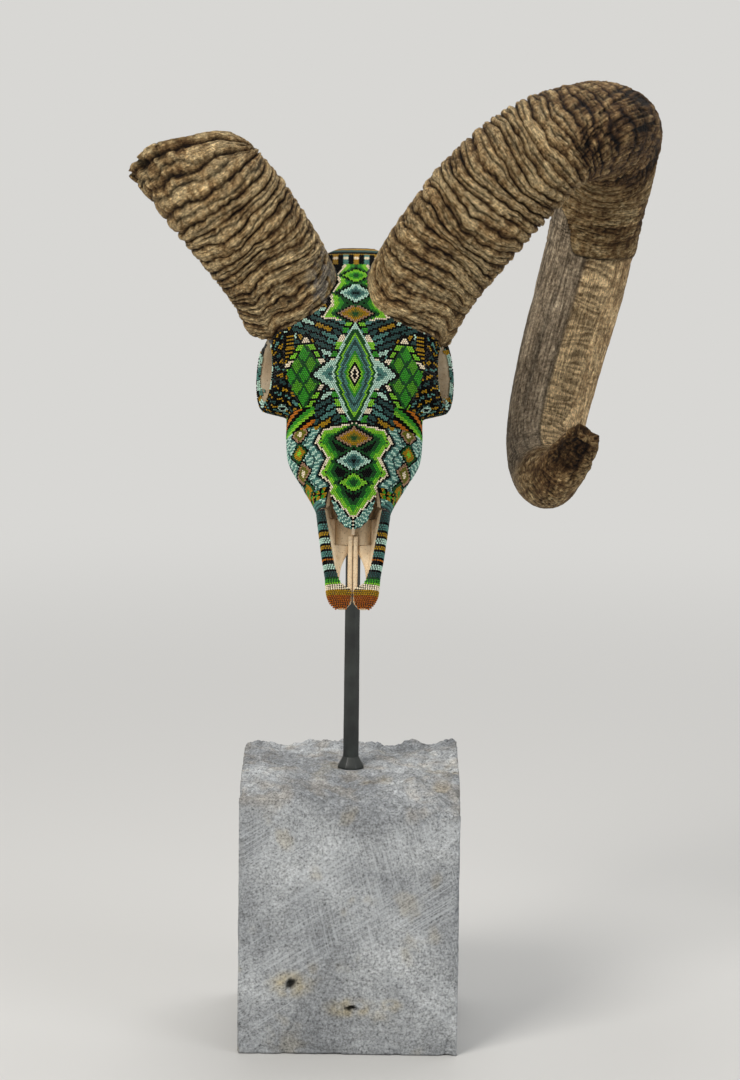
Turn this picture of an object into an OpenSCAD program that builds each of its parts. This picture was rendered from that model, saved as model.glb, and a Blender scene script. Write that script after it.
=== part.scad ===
// Beaded ram skull on a rod and stone stand, in millimetres.
// The origin is the centre of the stone's underside, +Z is up and the face looks along -Y.

/* [Stone block] */
// Width of the block across its front
block_w = 158; // [130:1:200]
// Depth of the block from front to back
block_d = 160; // [130:1:200]
// Height of the seat cut for the rod's collar
block_h = 192; // [150:1:240]
// Height of the waves on the broken top
top_rough = 3; // [1:0.5:5]
// Drop of the broken top at its front left corner
top_fall_left = 5; // [2:1:14]
// Drop of the broken top at its front right corner
top_fall_right = 19; // [8:1:30]

/* [Rod] */
// Width across the flats of the rod at its foot
rod_foot_w = 11.2; // [10:0.1:14]
// Width across the flats of the rod inside the skull
rod_head_w = 9.8; // [8.5:0.1:12]
// Diameter of the round tang in the stone
tang_d = 9; // [6:0.1:9.5]
// Depth of the tang below the seat
tang_len = 90; // [50:1:130]
// Wall of the resin around the tang
resin_t = 2.5; // [1:0.1:4]
// Width across the flats at the bottom of the collar
collar_w = 18.7; // [15:0.1:26]
// Height of the collar
collar_h = 8; // [5:0.1:14]
// Diameter of the round tenon at the top of the rod
tenon_d = 8; // [5:0.1:8.4]
// Height of the snout tip over the rod's seat
chin_gap = 128; // [90:1:180]
// Distance from the snout tip back to the rod, as a share of the skull's length
setback_share = 0.2344; // [0.215:0.001:0.25]

/* [Skull] */
// Length from the snout tip to the rim behind the braincase
skull_len = 256; // [244:1:275]
// Place of the nasal tip from the snout tip, as a share of the skull's length
nasal_share = 0.2; // [0.19:0.005:0.21]
// Place of the eye sockets from the snout tip, as a share of the skull's length
orbit_share = 0.625; // [0.61:0.005:0.64]
// Width across the outer rims of the eye sockets
orbit_span = 139; // [130:1:150]
// Width across the cheeks
cheek_w = 93; // [86:1:100]
// Width of the muzzle at the nasal tip
muzzle_w = 45; // [42:0.5:48]
// Width of the forehead
brow_w = 117; // [110:1:124]
// Height of the forehead over the palate line
brow_h = 84; // [78:1:90]
// Height of the nasal tip over the palate line
nasal_tip_h = 30; // [26:1:34]
// Diameter of an eye socket along the crest of its rim
orbit_d = 47; // [42:0.5:50]
// Depth of an eye socket
orbit_depth = 26; // [16:1:32]
// Width of the opening at the back of the braincase
foramen_w = 25; // [20:1:30]
// Thickness of the bone
bone_t = 3.5; // [2.5:0.1:5]
// Backward lean of the palate
face_tilt = 23; // [18:1:27]
// Length of a tooth's crown
crown_len = 11; // [6:0.5:15]

/* [Horns] */
// Width of a horn above its base
horn_w = 76; // [68:1:84]
// Thickness of a horn sheath at its base
sheath_t = 7; // [5:0.1:10]
// Height of the growth ridges where they are highest
ridge_h = 3.2; // [1.5:0.1:4.5]
// Distance between growth ridges where they are highest, in steps of the horn's course
ridge_step = 0.22; // [0.18:0.01:0.4]

/* [Beadwork] */
// Thickness of the wax with its beads
bead_layer = 1.6; // [1:0.1:2.5]

/* [Hidden] */

round_fn = 48;
// Gap left where two bones meet at a suture
suture_gap = 0.3;
// Gap under the wax, where it follows the bone
wax_gap = 0.2;
// Gap around pieces that are bonded into a hole
bond_gap = 0.05;
// Gap between a horn and the bone under it
horn_gap = 1.2;
// Gap between a horn and the beads around it
bead_horn_gap = 2.2;

bone = [0.80, 0.72, 0.58];
enamel = [0.86, 0.82, 0.70];
horn = [0.49, 0.38, 0.26];
glass_bead = [0.35, 0.55, 0.48];
limestone = [0.64, 0.65, 0.66];
black_steel = [0.10, 0.10, 0.10];
resin = [0.45, 0.40, 0.32];

// Steps along, up and across the skull, each a millimetre at its usual size
along = skull_len / 256;
up = brow_h / 84;
side = brow_w / 117;
// Places along the palate line, measured from the snout tip
nasal_at = nasal_share * skull_len;
orbit_at = orbit_share * skull_len;
notch_at = nasal_at + 15 * along;
brow_at = orbit_at - 30 * along;
cheek_at = brow_at - 12 * along;
shelf_at = orbit_at + 33 * along;
crest_at = skull_len - 20 * along;
fill_from = shelf_at + 10 * along;
fill_to = crest_at - 10 * along;
// Edges of the bones, as angles round the skull from the middle of the face
nasal_edge = 32;
brow_edge = 50;
socket_edge = 135;
palate_edge = 163;
base_edge = 165;
bead_edge = 112;
// Shape of a section: how square its sides and its top are
side_power = 0.8;
top_power = 0.7;
// Height of the tooth ridge and its place round the skull
ridge_level = -9 * up;
ridge_angle = 147;
ridge_flat = 9;
ridge_fade = 15;

// Half width at the widest level
width_line = [[nasal_at - 10 * along, muzzle_w / 2 - side], [nasal_at, muzzle_w / 2],
    [nasal_at + 17 * along, muzzle_w / 2 + 2.5 * side],
    [cheek_at - 32 * along, cheek_w / 2 - 11.5 * side],
    [cheek_at - 16 * along, cheek_w / 2 - 2 * side], [cheek_at, cheek_w / 2],
    [brow_at + 4 * along, cheek_w / 2 + 0.5 * side], [orbit_at - 10 * along, brow_w / 2 - 3 * side],
    [orbit_at, brow_w / 2], [shelf_at - 3 * along, brow_w / 2 + side],
    [shelf_at + 19 * along, brow_w / 2 - 2 * side], [crest_at, brow_w / 2 - 14 * side],
    [skull_len, foramen_w / 2 + bone_t]];
// Half width towards the face
crown_line = [[nasal_at - 10 * along, muzzle_w / 2 - 2.5 * side],
    [nasal_at + 24 * along, muzzle_w / 2 + 3.5 * side],
    [cheek_at - 18 * along, cheek_w / 2 - 12.5 * side],
    [cheek_at + 2 * along, cheek_w / 2 - 8.5 * side], [brow_at + 10 * along, brow_w / 2 - 6 * side],
    [orbit_at, brow_w / 2 + 2 * side], [shelf_at - 3 * along, brow_w / 2 + 2 * side],
    [crest_at, brow_w / 2 - 14 * side], [skull_len, foramen_w / 2 + bone_t]];
// Height of the face, of the widest level and of the underside over the palate line
top_line = [[nasal_at - 10 * along, nasal_tip_h - 6 * up], [nasal_at, nasal_tip_h],
    [nasal_at + 24 * along, nasal_tip_h + 13 * up], [cheek_at - 18 * along, brow_h - 27 * up],
    [brow_at, brow_h - 11 * up], [orbit_at - 10 * along, brow_h - 4 * up],
    [orbit_at + 10 * along, brow_h], [shelf_at + 2 * along, brow_h - up],
    [shelf_at + 22 * along, brow_h - 5 * up], [crest_at - 3 * along, brow_h - 16 * up],
    [crest_at + 10 * along, brow_h - 31 * up], [skull_len, brow_h - 52 * up]];
mid_line = [[nasal_at - 10 * along, 6 * up], [nasal_at + 24 * along, 10 * up],
    [cheek_at - 18 * along, 14 * up], [cheek_at + 2 * along, 18 * up],
    [brow_at + 10 * along, brow_h - 52 * up], [orbit_at, brow_h - 44 * up],
    [shelf_at + 7 * along, brow_h - 42 * up], [crest_at - 6 * along, brow_h - 48 * up],
    [skull_len, brow_h - 65 * up]];
bottom_line = [[nasal_at - 10 * along, -6 * up], [cheek_at - 18 * along, -3 * up],
    [brow_at + 20 * along, -up], [orbit_at + 20 * along, 4 * up], [shelf_at + 17 * along, 8 * up],
    [crest_at + 4 * along, 8 * up], [skull_len, 8 * up]];

// Eye socket: middle, direction it looks along, and the profile of its rim
orbit_turn = 15;
rim_r = 4;
orbit_r = orbit_d / 2;
orbit_axis = [cos(orbit_turn), -sin(orbit_turn), 0];
orbit_mid = [orbit_span / 2 - orbit_r * sin(orbit_turn) - rim_r, -(brow_h - 43 * up), orbit_at];
orbit_angle = 90;
orbit_sides = 20;
rim_rise = 3;
rim_fade_from = orbit_r + 2;
rim_fade_to = orbit_r + 6;
socket_rings = [1.5, 0.42 * orbit_r, 0.63 * orbit_r, orbit_r - 5.2, orbit_r - rim_r];
rim_rings = [orbit_r - 2, orbit_r, orbit_r + 2.4];

// Root of the right horn in the skull's frame: across, back and along from the snout tip
horn_root = [34 * side, -brow_h + 44 * up, shelf_at - along];
horn_size = horn_w / 76;
// Course of each horn from the root, at its usual size
right_run = [[-8, 1, -7], [15, -35, 32], [46, -53, 70], [76, -53, 102], [102, -39, 127], [129, -14, 146],
    [147, 24, 160], [149, 69, 155], [144, 108, 128], [133, 138, 81], [117, 153, 19], [106, 145, -37],
    [105, 117, -72], [113, 84, -80], [132, 54, -60]];
left_run = [[2, 0, 0], [20, -34, 32], [46, -53, 65], [71, -54, 93], [92, -43, 119], [110, -24, 141]];
function placed(run) = [for (p = run) horn_root + p * horn_size];
horn_course_right = placed(right_run);
horn_course_left = placed(left_run);
// Half width across and half depth along the curl, by step of the course
function sized(line) = [for (p = line) [p[0], p[1] * horn_size]];
horn_across = sized([[0, 35], [1, 38], [2, 40], [3, 40], [4, 38.5], [5, 37], [7, 35.5], [9, 33], [11, 29],
    [12, 25], [13, 20], [14, 11]]);
horn_deep = sized([[0, 29], [1, 31], [2, 33], [4, 34], [6, 35], [8, 33], [10, 29], [12, 25], [13, 20],
    [14, 11]]);
horn_sides = 16;
horn_end_right = 14;
horn_end_left = 3.42;
// Slant and raggedness of the broken ends, in steps of the course
break_slant_right = 0;
break_slant_left = 0.5;
break_depth_right = 0.04;
break_depth_left = 0.06;
break_fade = 0.9;
core_end_right = 3;
core_end_left = 2.7;

rod_seat = block_h;
rod_setback = setback_share * skull_len;
skull_tip = [0, -rod_setback, rod_seat + chin_gap];
rod_shoulder = rod_seat + collar_h;

// Height on the rod's axis at a place along the palate line
function rod_z(w) = skull_tip[2] + (w - rod_setback * sin(face_tilt)) / cos(face_tilt);
rod_neck = rod_z(shelf_at);
rod_top = rod_z(fill_to - 8 * along);

function unit(v) = v / norm(v);
function mean(list) = [for (x = list) 1] * list / len(list);
function flip(p) = [-p[0], p[1], p[2]];
function flat(rows) = [for (row = rows) each row];
function steps(from, to, count) = [for (i = [0:count]) from + (to - from) * i / count];
function smooth(f) = let (g = min(max(f, 0), 1)) g * g * (3 - 2 * g);
function sign_pow(b, e) = sign(b) * pow(abs(b), e);
function hermite(a, b, m, n, f) = (2 * f ^ 3 - 3 * f ^ 2 + 1) * a + (f ^ 3 - 2 * f ^ 2 + f) * m
    + (3 * f ^ 2 - 2 * f ^ 3) * b + (f ^ 3 - f ^ 2) * n;

// Smooth curve through a list of places and values
function span_index(line, t) = max([0, each [for (i = [1:len(line) - 2]) if (line[i][0] <= t) i]]);
function curve(line, t) =
    let (i = span_index(line, t), p = line[i], q = line[i + 1])
    let (o = line[max(i - 1, 0)], r = line[min(i + 2, len(line) - 1)], d = q[0] - p[0])
    let (f = min(max((t - p[0]) / d, 0), 1))
    hermite(p[1], q[1], d * (q[1] - o[1]) / (q[0] - o[0]), d * (r[1] - p[1]) / (r[0] - p[0]), f);

// Smooth course through a list of points, one step a point
function course_at(course, u) =
    let (last = len(course) - 1, i = min(max(floor(u), 0), last - 1), p = course[i], q = course[i + 1])
    let (o = course[max(i - 1, 0)], r = course[min(i + 2, last)])
    hermite(p, q, (q - o) / 2, (r - p) / 2, u - i);

// Closed skin over rings of points: a tube with end caps, or a ring that closes on itself
module skin(rings, closed = false) {
    n = len(rings[0]);
    m = len(rings);
    joins = closed ? m : m - 1;
    walls = [for (k = [0:joins - 1], i = [0:n - 1])
        let (a = k * n, b = ((k + 1) % m) * n, j = (i + 1) % n)
        each [[a + i, b + i, b + j], [a + i, b + j, a + j]]];
    top = (m - 1) * n;
    caps = [for (i = [0:n - 1]) let (j = (i + 1) % n) each [[i, j, m * n], [top + j, top + i, m * n + 1]]];
    points = concat(flat(rings), [mean(rings[0]), mean(rings[m - 1])]);
    polyhedron(closed ? flat(rings) : points, closed ? walls : concat(walls, caps));
}

// Closed plate between two grids of points; a closed one joins its last column to its first
module plate(outer, inner, closed = false) {
    m = len(outer);
    n = len(outer[0]);
    h = m * n;
    spans = closed ? n - 1 : n - 2;
    faces = [for (j = [0:m - 2], i = [0:spans])
        let (a = j * n + i, b = j * n + (i + 1) % n, c = a + n, d = b + n)
        each [[a, c, d], [a, d, b], [h + a, h + d, h + c], [h + a, h + b, h + d]]];
    ends = [for (i = [0:spans])
        let (a = i, b = (i + 1) % n, c = h - n + a, d = h - n + b)
        each [[a, b, h + b], [a, h + b, h + a], [d, c, h + c], [d, h + c, h + d]]];
    sides = [for (j = [0:m - 2])
        let (a = j * n, b = a + n, c = a + n - 1, d = b + n - 1)
        each [[b, a, h + a], [b, h + a, h + b], [c, d, h + d], [c, h + d, h + c]]];
    polyhedron(concat(flat(outer), flat(inner)), closed ? concat(faces, ends) : concat(faces, ends, sides));
}

// Surface of the skull at an angle from the middle of the face and a place along the palate line
function tooth_ridge(phi, w) = w > brow_at ? 0
    : smooth((ridge_fade - abs(phi - ridge_angle)) / (ridge_fade - ridge_flat))
        * smooth((brow_at - w) / (4 * along));
function half_skull(phi, w) =
    let (c = cos(phi), s = abs(sin(phi)), m = max(c, 0), mid = curve(mid_line, w))
    let (reach = curve(width_line, w) * (1 - m) + curve(crown_line, w) * m)
    let (end = c < 0 ? curve(bottom_line, w) : curve(top_line, w))
    let (level = mid + (end - mid) * pow(abs(c), top_power), ridge = tooth_ridge(phi, w))
    [reach * pow(s, side_power), -(level + (ridge_level - level) * ridge), w];
function skull_at(phi, w) = phi < 0 ? flip(half_skull(-phi, w))
    : phi > 180 ? flip(half_skull(360 - phi, w)) : half_skull(phi, w);
function skull_normal(phi, w) = unit(cross(skull_at(phi + 1, w) - skull_at(phi - 1, w),
    skull_at(phi, w + 0.5) - skull_at(phi, w - 0.5)));
function skull_off(phi, w, t) = skull_at(phi, w) + t * skull_normal(phi, w);

// True where a point of the skull's frame lies under the bone's surface
function in_bone(p, grow) =
    let (w = p[2], v = -p[1], mid = curve(mid_line, w), up = v >= mid)
    let (end = up ? curve(top_line, w) + grow : curve(bottom_line, w) - grow)
    let (c = pow(abs((v - mid) / (end - mid)), 1 / top_power), m = up ? c : 0)
    let (reach = curve(width_line, w) * (1 - m) + curve(crown_line, w) * m + grow)
    w < skull_len && c < 1 && abs(p[0]) < reach * pow(sqrt(max(0, 1 - c * c)), side_power);

// Puts a piece that is drawn in the skull's frame in its place over the stone
module in_skull() {
    translate(skull_tip) rotate([-face_tilt, 0, 0]) children();
}
module left_and_in_skull() {
    in_skull() mirror([1, 0, 0]) children();
}

// Plate of bone or wax over a stretch of the skull; from and to are lists, one value for each angle
module skull_plate(angles, from, to, rows, low, high) {
    count = len(angles);
    grid = [for (j = [0:rows]) [for (i = [0:count - 1])
        [angles[i], from[i] + (to[i] - from[i]) * j / rows]]];
    plate([for (row = grid) [for (g = row) skull_off(g[0], g[1], high)]],
        [for (row = grid) [for (g = row) skull_off(g[0], g[1], low)]]);
}
function moved(list, by) = [for (x = list) x + by];
module bone_plate(angles, from, to, rows) {
    half = suture_gap / 2;
    color(bone) skull_plate(angles, moved(from, half), moved(to, -half), rows, -bone_t, 0);
}
function same(angles, w) = [for (a = angles) w];
// Angles of a bone's columns, drawn in by the suture at both edges
suture_angle = 0.2;
function columns(from, to, count) = steps(from + suture_angle, to - suture_angle, count);

// Angles and front edges of the nasal bones and cheeks
nasal_angles = columns(0, nasal_edge, 4);
function nasal_front(phi) = nasal_at + 26 * along * (1 - sqrt(max(0, 1 - (phi / nasal_edge) ^ 2)));
cheek_angles = columns(nasal_edge, palate_edge, 13);
bead_cheek_angles = [for (a = cheek_angles) if (a < bead_edge) a];
function cheek_front(phi) = notch_at + 12 * along * max(0, 1 - (phi - nasal_edge) / 17);

module nasal_bone() {
    bone_plate(nasal_angles, [for (a = nasal_angles) nasal_front(a)], same(nasal_angles, brow_at), 8);
}
module maxilla() {
    bone_plate(cheek_angles, [for (a = cheek_angles) cheek_front(a)], same(cheek_angles, brow_at), 9);
}
module temporal_bone() {
    angles = columns(brow_edge, base_edge, 9);
    bone_plate(angles, same(angles, shelf_at), same(angles, crest_at), 5);
}
module pterygoid() {
    angles = columns(socket_edge, base_edge, 3);
    bone_plate(angles, same(angles, brow_at), same(angles, shelf_at), 7);
}
module frontal_bone() {
    angles = columns(-brow_edge, brow_edge, 14);
    in_skull() bone_plate(angles, same(angles, brow_at), same(angles, crest_at), 13);
}
module skull_base() {
    angles = columns(base_edge, 360 - base_edge, 4);
    in_skull() bone_plate(angles, same(angles, shelf_at), same(angles, crest_at), 5);
}

// The palate is wider in front of the cheeks, between the arms of the muzzle
palate_front = nasal_at - 4 * along;
palate_front_edge = 147;
module hard_palate() {
    ahead = steps(palate_front, notch_at - suture_gap, 2);
    stations = concat(ahead, steps(notch_at, brow_at - suture_gap / 2, 9));
    edges = [for (w = stations) w < notch_at ? palate_front_edge : palate_edge + 2 * suture_angle];
    grid = [for (j = [0:len(stations) - 1])
        [for (a = steps(edges[j], 360 - edges[j], 6)) [a, stations[j]]]];
    color(bone) in_skull()
        plate([for (row = grid) [for (g = row) skull_off(g[0], g[1], 0)]],
            [for (row = grid) [for (g = row) skull_off(g[0], g[1], -bone_t)]]);
}

// Thin upright blade along the middle of the nasal floor
vomer_t = 2.2;
vomer_h = 15 * up;
vomer_from = nasal_at + 2 * along;
module vomer() {
    to = brow_at - 6 * along;
    floor_line = [for (w = steps(vomer_from, to, 6)) [w, curve(bottom_line, w) + bone_t + wax_gap]];
    crest = [[to, 1.5 * vomer_h], [(vomer_from + to) / 2, vomer_h], [vomer_from, bone_t]];
    color(bone) in_skull() rotate([0, -90, 0]) translate([0, 0, -vomer_t / 2]) linear_extrude(vomer_t)
        polygon([for (p = concat(floor_line, crest)) [p[0], -p[1]]]);
}

ring_angles = [for (i = [0:19]) i * 18];
// Back of the braincase: a ring of bone round the opening for the spine
module occipital_bone() {
    stations = steps(crest_at + suture_gap / 2, skull_len, 5);
    rings = concat([for (w = stations) [for (a = ring_angles) skull_off(a, w, 0)]],
        [for (k = [5:-1:0]) [for (a = ring_angles) skull_off(a, stations[k], -bone_t)]]);
    color(bone) in_skull() skin(rings, true);
}

// Cast fill round the rod's tenon
module braincase_fill() {
    under = -bone_t - suture_gap;
    rings = [for (w = steps(fill_from, fill_to, 3)) [for (a = ring_angles) skull_off(a, w, under)]];
    depth = rod_top + bond_gap - rod_neck;
    color(resin) difference() {
        in_skull() skin(rings);
        translate([0, 0, rod_neck]) cylinder(d = tenon_d + 2 * bond_gap, h = depth, $fn = round_fn);
    }
}

// Eye socket: a ray from its middle crosses the skull, and the rim is raised along the socket's axis
function ray(turn, f) =
    let (dp = cos(turn), dw = -sin(turn))
    let (high = dp > 0 ? socket_edge - suture_angle - orbit_angle : orbit_angle - brow_edge - suture_angle)
    let (wide = dw > 0 ? shelf_at - suture_gap / 2 - orbit_at : orbit_at - brow_at - suture_gap / 2)
    let (reach = min(high / max(abs(dp), 0.001), wide / max(abs(dw), 0.001)))
    [orbit_angle + f * reach * dp, orbit_at + f * reach * dw];
function axis_gap(p) = let (q = p - orbit_mid) norm(q - (q * orbit_axis) * orbit_axis);
function ray_gap(turn, f) = let (g = ray(turn, f)) axis_gap(skull_at(g[0], g[1]));
function ray_find(turn, gap, low = 0, high = 1, tries = 12) = tries == 0 ? (low + high) / 2
    : ray_gap(turn, (low + high) / 2) < gap ? ray_find(turn, gap, (low + high) / 2, high, tries - 1)
    : ray_find(turn, gap, low, (low + high) / 2, tries - 1);
function rim_share(gap) = 1 - smooth((gap - rim_fade_from) / (rim_fade_to - rim_fade_from));
socket_r = orbit_r - rim_r;
function rim_profile(gap) = gap < socket_r ? -orbit_depth * sqrt(1 - (gap / socket_r) ^ 2)
    : rim_rise * (1 - ((gap - orbit_r) / rim_r) ^ 2);
// A point at a share f of a ray, raised by t over the bone
function orbit_at_ray(turn, f, t) =
    let (g = ray(turn, f), p = skull_at(g[0], g[1]), gap = axis_gap(p), share = rim_share(gap))
    let (lift = share * (rim_profile(min(gap, orbit_r + rim_r)) - (p - orbit_mid) * orbit_axis))
    let (way = unit(share * orbit_axis + (1 - share) * skull_normal(g[0], g[1])))
    p + lift * orbit_axis + t * way;
orbit_turns = [for (i = [0:orbit_sides - 1]) i * 360 / orbit_sides];
function orbit_ring(gap, t) = [for (a = orbit_turns) orbit_at_ray(a, ray_find(a, gap), t)];
function orbit_edge(t) = [for (a = orbit_turns) orbit_at_ray(a, 1, t)];

module orbit_bone() {
    gaps = concat(socket_rings, rim_rings);
    rings = concat([for (g = gaps) orbit_ring(g, 0)], [orbit_edge(0), orbit_edge(-bone_t)],
        [for (k = [len(gaps) - 1:-1:0]) orbit_ring(gaps[k], -bone_t)]);
    color(bone) skin(rings);
}

// Muzzle: each half has an outer arm that ends in a rounded lobe, a thin bar along the middle and a floor
// that leaves a slit beside the bar
arm_in = [[0, 5 * side], [4 * along, 1.2 * side], [9 * along, 0.4 * side], [13 * along, 0.4 * side],
    [16 * along, 6 * side], [19 * along, 8.6 * side], [26 * along, 10 * side],
    [36 * along, 11.6 * side], [50 * along, 14 * side], [66 * along, 17.5 * side]];
arm_out = [[0, 10 * side], [4 * along, muzzle_w / 2 - 8.3 * side],
    [9 * along, muzzle_w / 2 - 5.9 * side], [16 * along, muzzle_w / 2 - 4.9 * side],
    [22 * along, muzzle_w / 2 - 4.5 * side], [36 * along, muzzle_w / 2 - 2.1 * side],
    [50 * along, muzzle_w / 2 - 0.1 * side], [66 * along, muzzle_w / 2 + 2.1 * side]];
arm_top = [[0, 1 * up], [4 * along, 3 * up], [9 * along, 4.2 * up], [16 * along, 5.2 * up],
    [26 * along, 7 * up], [36 * along, 9.5 * up], [50 * along, 16 * up], [58 * along, 22 * up],
    [66 * along, 29 * up]];
arm_bottom = [[0, -3 * up], [4 * along, -5 * up], [9 * along, -6 * up], [20 * along, -6 * up],
    [66 * along, -5 * up]];
bar_from = 11 * along;
bar_to = palate_front - suture_gap;
bar_in = 0.2 * side;
bar_out = 3.6 * side;
bar_top = 0.5 * up;
bar_bottom = -4.5 * up;
bar_tip = vomer_from - suture_gap;
bar_tip_bottom = curve(bottom_line, bar_tip) + bone_t + suture_gap;
slit_out = [[22 * along, 9.4 * side], [27 * along, 9 * side], [32 * along, 8 * side],
    [37 * along, 6 * side], [42 * along, 3.4 * side], [palate_front, 3.4 * side]];
floor_top = -2 * up;
floor_bottom = -5 * up;
floor_step = 13 * side;
function arm_at(turn, w) =
    let (a = curve(arm_in, w), b = curve(arm_out, w), c = curve(arm_bottom, w), d = curve(arm_top, w))
    [(a + b) / 2 + (b - a) / 2 * sign_pow(sin(turn), side_power),
    -((c + d) / 2 + (d - c) / 2 * sign_pow(cos(turn), side_power)), w];
function arm_off(turn, w, t) = arm_at(turn, w) + t * unit(cross(arm_at(turn + 2, w) - arm_at(turn - 2, w),
    arm_at(turn, w + 0.5) - arm_at(turn, w - 0.5)));
arm_sides = 14;
arm_end = notch_at - suture_gap;
arm_stations = concat(along * [0, 2, 4.5, 9, 13, 16, 19, 23], steps(29 * along, arm_end, 5));
module premaxilla() {
    rings = [for (w = arm_stations) [for (i = [0:arm_sides - 1]) arm_at(i * 360 / arm_sides, w)]];
    floor_from = slit_out[0][0];
    color(bone) union() {
        skin(rings);
        translate([bar_in, -bar_top, bar_from])
            cube([bar_out - bar_in, bar_top - bar_bottom, bar_to - bar_from]);
        translate([bar_in, -bar_top, bar_from])
            cube([bar_out - bar_in, bar_top - bar_tip_bottom, bar_tip - bar_from]);
        rotate([90, 0, 0]) translate([0, 0, floor_bottom]) linear_extrude(floor_top - floor_bottom)
            polygon(concat([for (w = steps(floor_from, bar_to, 7)) [curve(slit_out, w), w]],
                [[floor_step, bar_to], [floor_step, arm_end]],
                [for (w = steps(arm_end, floor_from, 3)) [curve(arm_in, w) + 3 * side, w]]));
    }
}

// Six cheek teeth, each with two round lobes, from the back of the row to the front
tooth_lengths = along * [13.5, 13, 10.5, 8, 7.5, 6.5];
tooth_gap = 0.3;
tooth_wide = 9.5 * side;
tooth_row_end = brow_at - 5 * along;
cup_depth = 1.2;
function sum_before(list, k) = k == 0 ? 0 : list[k - 1] + sum_before(list, k - 1);
module tooth(long, wide) {
    lobe_d = 0.62 * wide;
    difference() {
        linear_extrude(crown_len) union() {
            for (end = [-1, 1])
                translate([0, end * (long - lobe_d) / 2]) circle(d = lobe_d, $fn = round_fn);
            square([wide, long * 0.45], center = true);
        }
        for (end = [-1, 1])
            translate([0, end * long / 4, crown_len - cup_depth])
                cylinder(d = long / 5, h = 2 * cup_depth, $fn = round_fn);
    }
}
module cheek_teeth() {
    color(enamel) for (k = [0:len(tooth_lengths) - 1]) {
        long = tooth_lengths[k];
        w = tooth_row_end - sum_before(tooth_lengths, k) - long / 2;
        translate([skull_at(ridge_angle, w)[0], -ridge_level + tooth_gap, w]) rotate([-90, 0, 0])
            tooth(long - tooth_gap, min(tooth_wide, long));
    }
}

// Direction of a horn's course, and how far its section is from an oval
function horn_way(course, u) = unit(course_at(course, u + 0.02) - course_at(course, u - 0.02));
lobe_rise = [[0, 0.04], [6.5, 0.04], [8, 0], [9.2, 0.08], [12, 0.08], [13.5, 0.03], [14, 0.03]];
lobe_change = 8;
function lobe_turn(u) = u < lobe_change ? 40 : -90;
// A point on a horn's surface; share draws the section in, grow adds to its radius
function horn_point(course, u, turn, share, grow) =
    let (t = horn_way(course, u), b = unit([1, 0, 0] - t[0] * t), n = cross(t, b))
    let (full = share * (1 + curve(lobe_rise, u) * cos(3 * turn + lobe_turn(u))))
    course_at(course, u) + b * (curve(horn_across, u) * full + grow) * cos(turn)
    + n * (curve(horn_deep, u) * full + grow) * sin(turn);
// Place where the horn's surface leaves the bone
horn_lowest = 0.35;
function sunk(course, u, turn, share, grow) = in_bone(horn_point(course, u, turn, share, grow), horn_gap);
function horn_exit(course, turn, share, grow) =
    let (inside = [for (u = [horn_lowest:0.1:2.2]) if (sunk(course, u, turn, share, grow)) u])
    len(inside) == 0 ? horn_lowest
    : exit_between(course, turn, share, grow, max(inside), max(inside) + 0.1, 6);
function exit_between(course, turn, share, grow, low, high, tries) =
    let (half = (low + high) / 2)
    tries == 0 ? high
    : sunk(course, half, turn, share, grow)
        ? exit_between(course, turn, share, grow, half, high, tries - 1)
        : exit_between(course, turn, share, grow, low, half, tries - 1);
horn_turns = [for (i = [0:horn_sides - 1]) i * 360 / horn_sides];

// Bony core: rises from the skull and narrows to a blunt end
core_shrink = -sheath_t - horn_gap;
core_taper = 0.45;
seat_lift = 0.02;
function core_rings(course, end, grow) =
    let (base = [for (a = horn_turns) horn_exit(course, a, 1, grow)])
    [for (f = steps(0, 1, 5)) [for (i = [0:horn_sides - 1])
        let (u = base[i] + (end - base[i]) * f, narrow = 1 - core_taper * f ^ 2)
        horn_point(course, u, horn_turns[i], narrow, grow * narrow)]];
module horn_core(course, end) {
    seat = [for (share = [0.04, 0.32, 0.6]) [for (a = horn_turns)
        horn_point(course, horn_exit(course, a, share, 0) + seat_lift, a, share, 0)]];
    color(bone) skin(concat(seat, core_rings(course, end - 0.1, core_shrink)));
}

// Growth ridges: their distance and height by step of the course, as shares of the largest
ridge_gaps = [[0, 0.75], [1.2, 0.75], [2.2, 1], [4.6, 1.1], [6, 1.4], [8.4, 1.4], [9, 4], [14, 4]];
ridge_heights = [[0, 0.5], [1.2, 0.65], [2.2, 1], [4.4, 1], [5.2, 0.6], [6, 0.35], [8.4, 0.3], [9, 0.1],
    [12.5, 0.1], [14, 0.3]];
// How far the ridges dip towards the base, and the side on which they do
ridge_dips = [[0, 0], [1, 0], [2, 0.17], [3, 0.45], [4, 0.6], [5, 0.45], [6, 0.1], [6.6, 0], [14, 0]];
dip_turns = [[0, -100], [2, -92], [3, -70], [4, -46], [5, -26], [14, -26]];
// Places of the valleys and crests of the ridges, in turn
function ridge_places(u, end, k = 0) = let (step = 0.5 * ridge_step * curve(ridge_gaps, u))
    u + 1.5 * step > end ? [u, end]
    : [u, each ridge_places(u + step * (1 + 0.3 * sin(137 * k)), end, k + 1)];
function ridge_rise(k, u) = (k % 2 == 0 ? -0.75 : 0.25) * ridge_h * curve(ridge_heights, u);
function ridge_shift(turn, u, from, end) = smooth((u - from) / 0.5) * smooth(end - u)
    * (0.03 * sin(2 * turn + 200 * u) + 0.02 * sin(3 * turn - 330 * u + 60)
        - curve(ridge_dips, u) * cos(turn - curve(dip_turns, u)));
function ragged(turn) = sin(3 * turn + 50) + 0.6 * sin(5 * turn);

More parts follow.
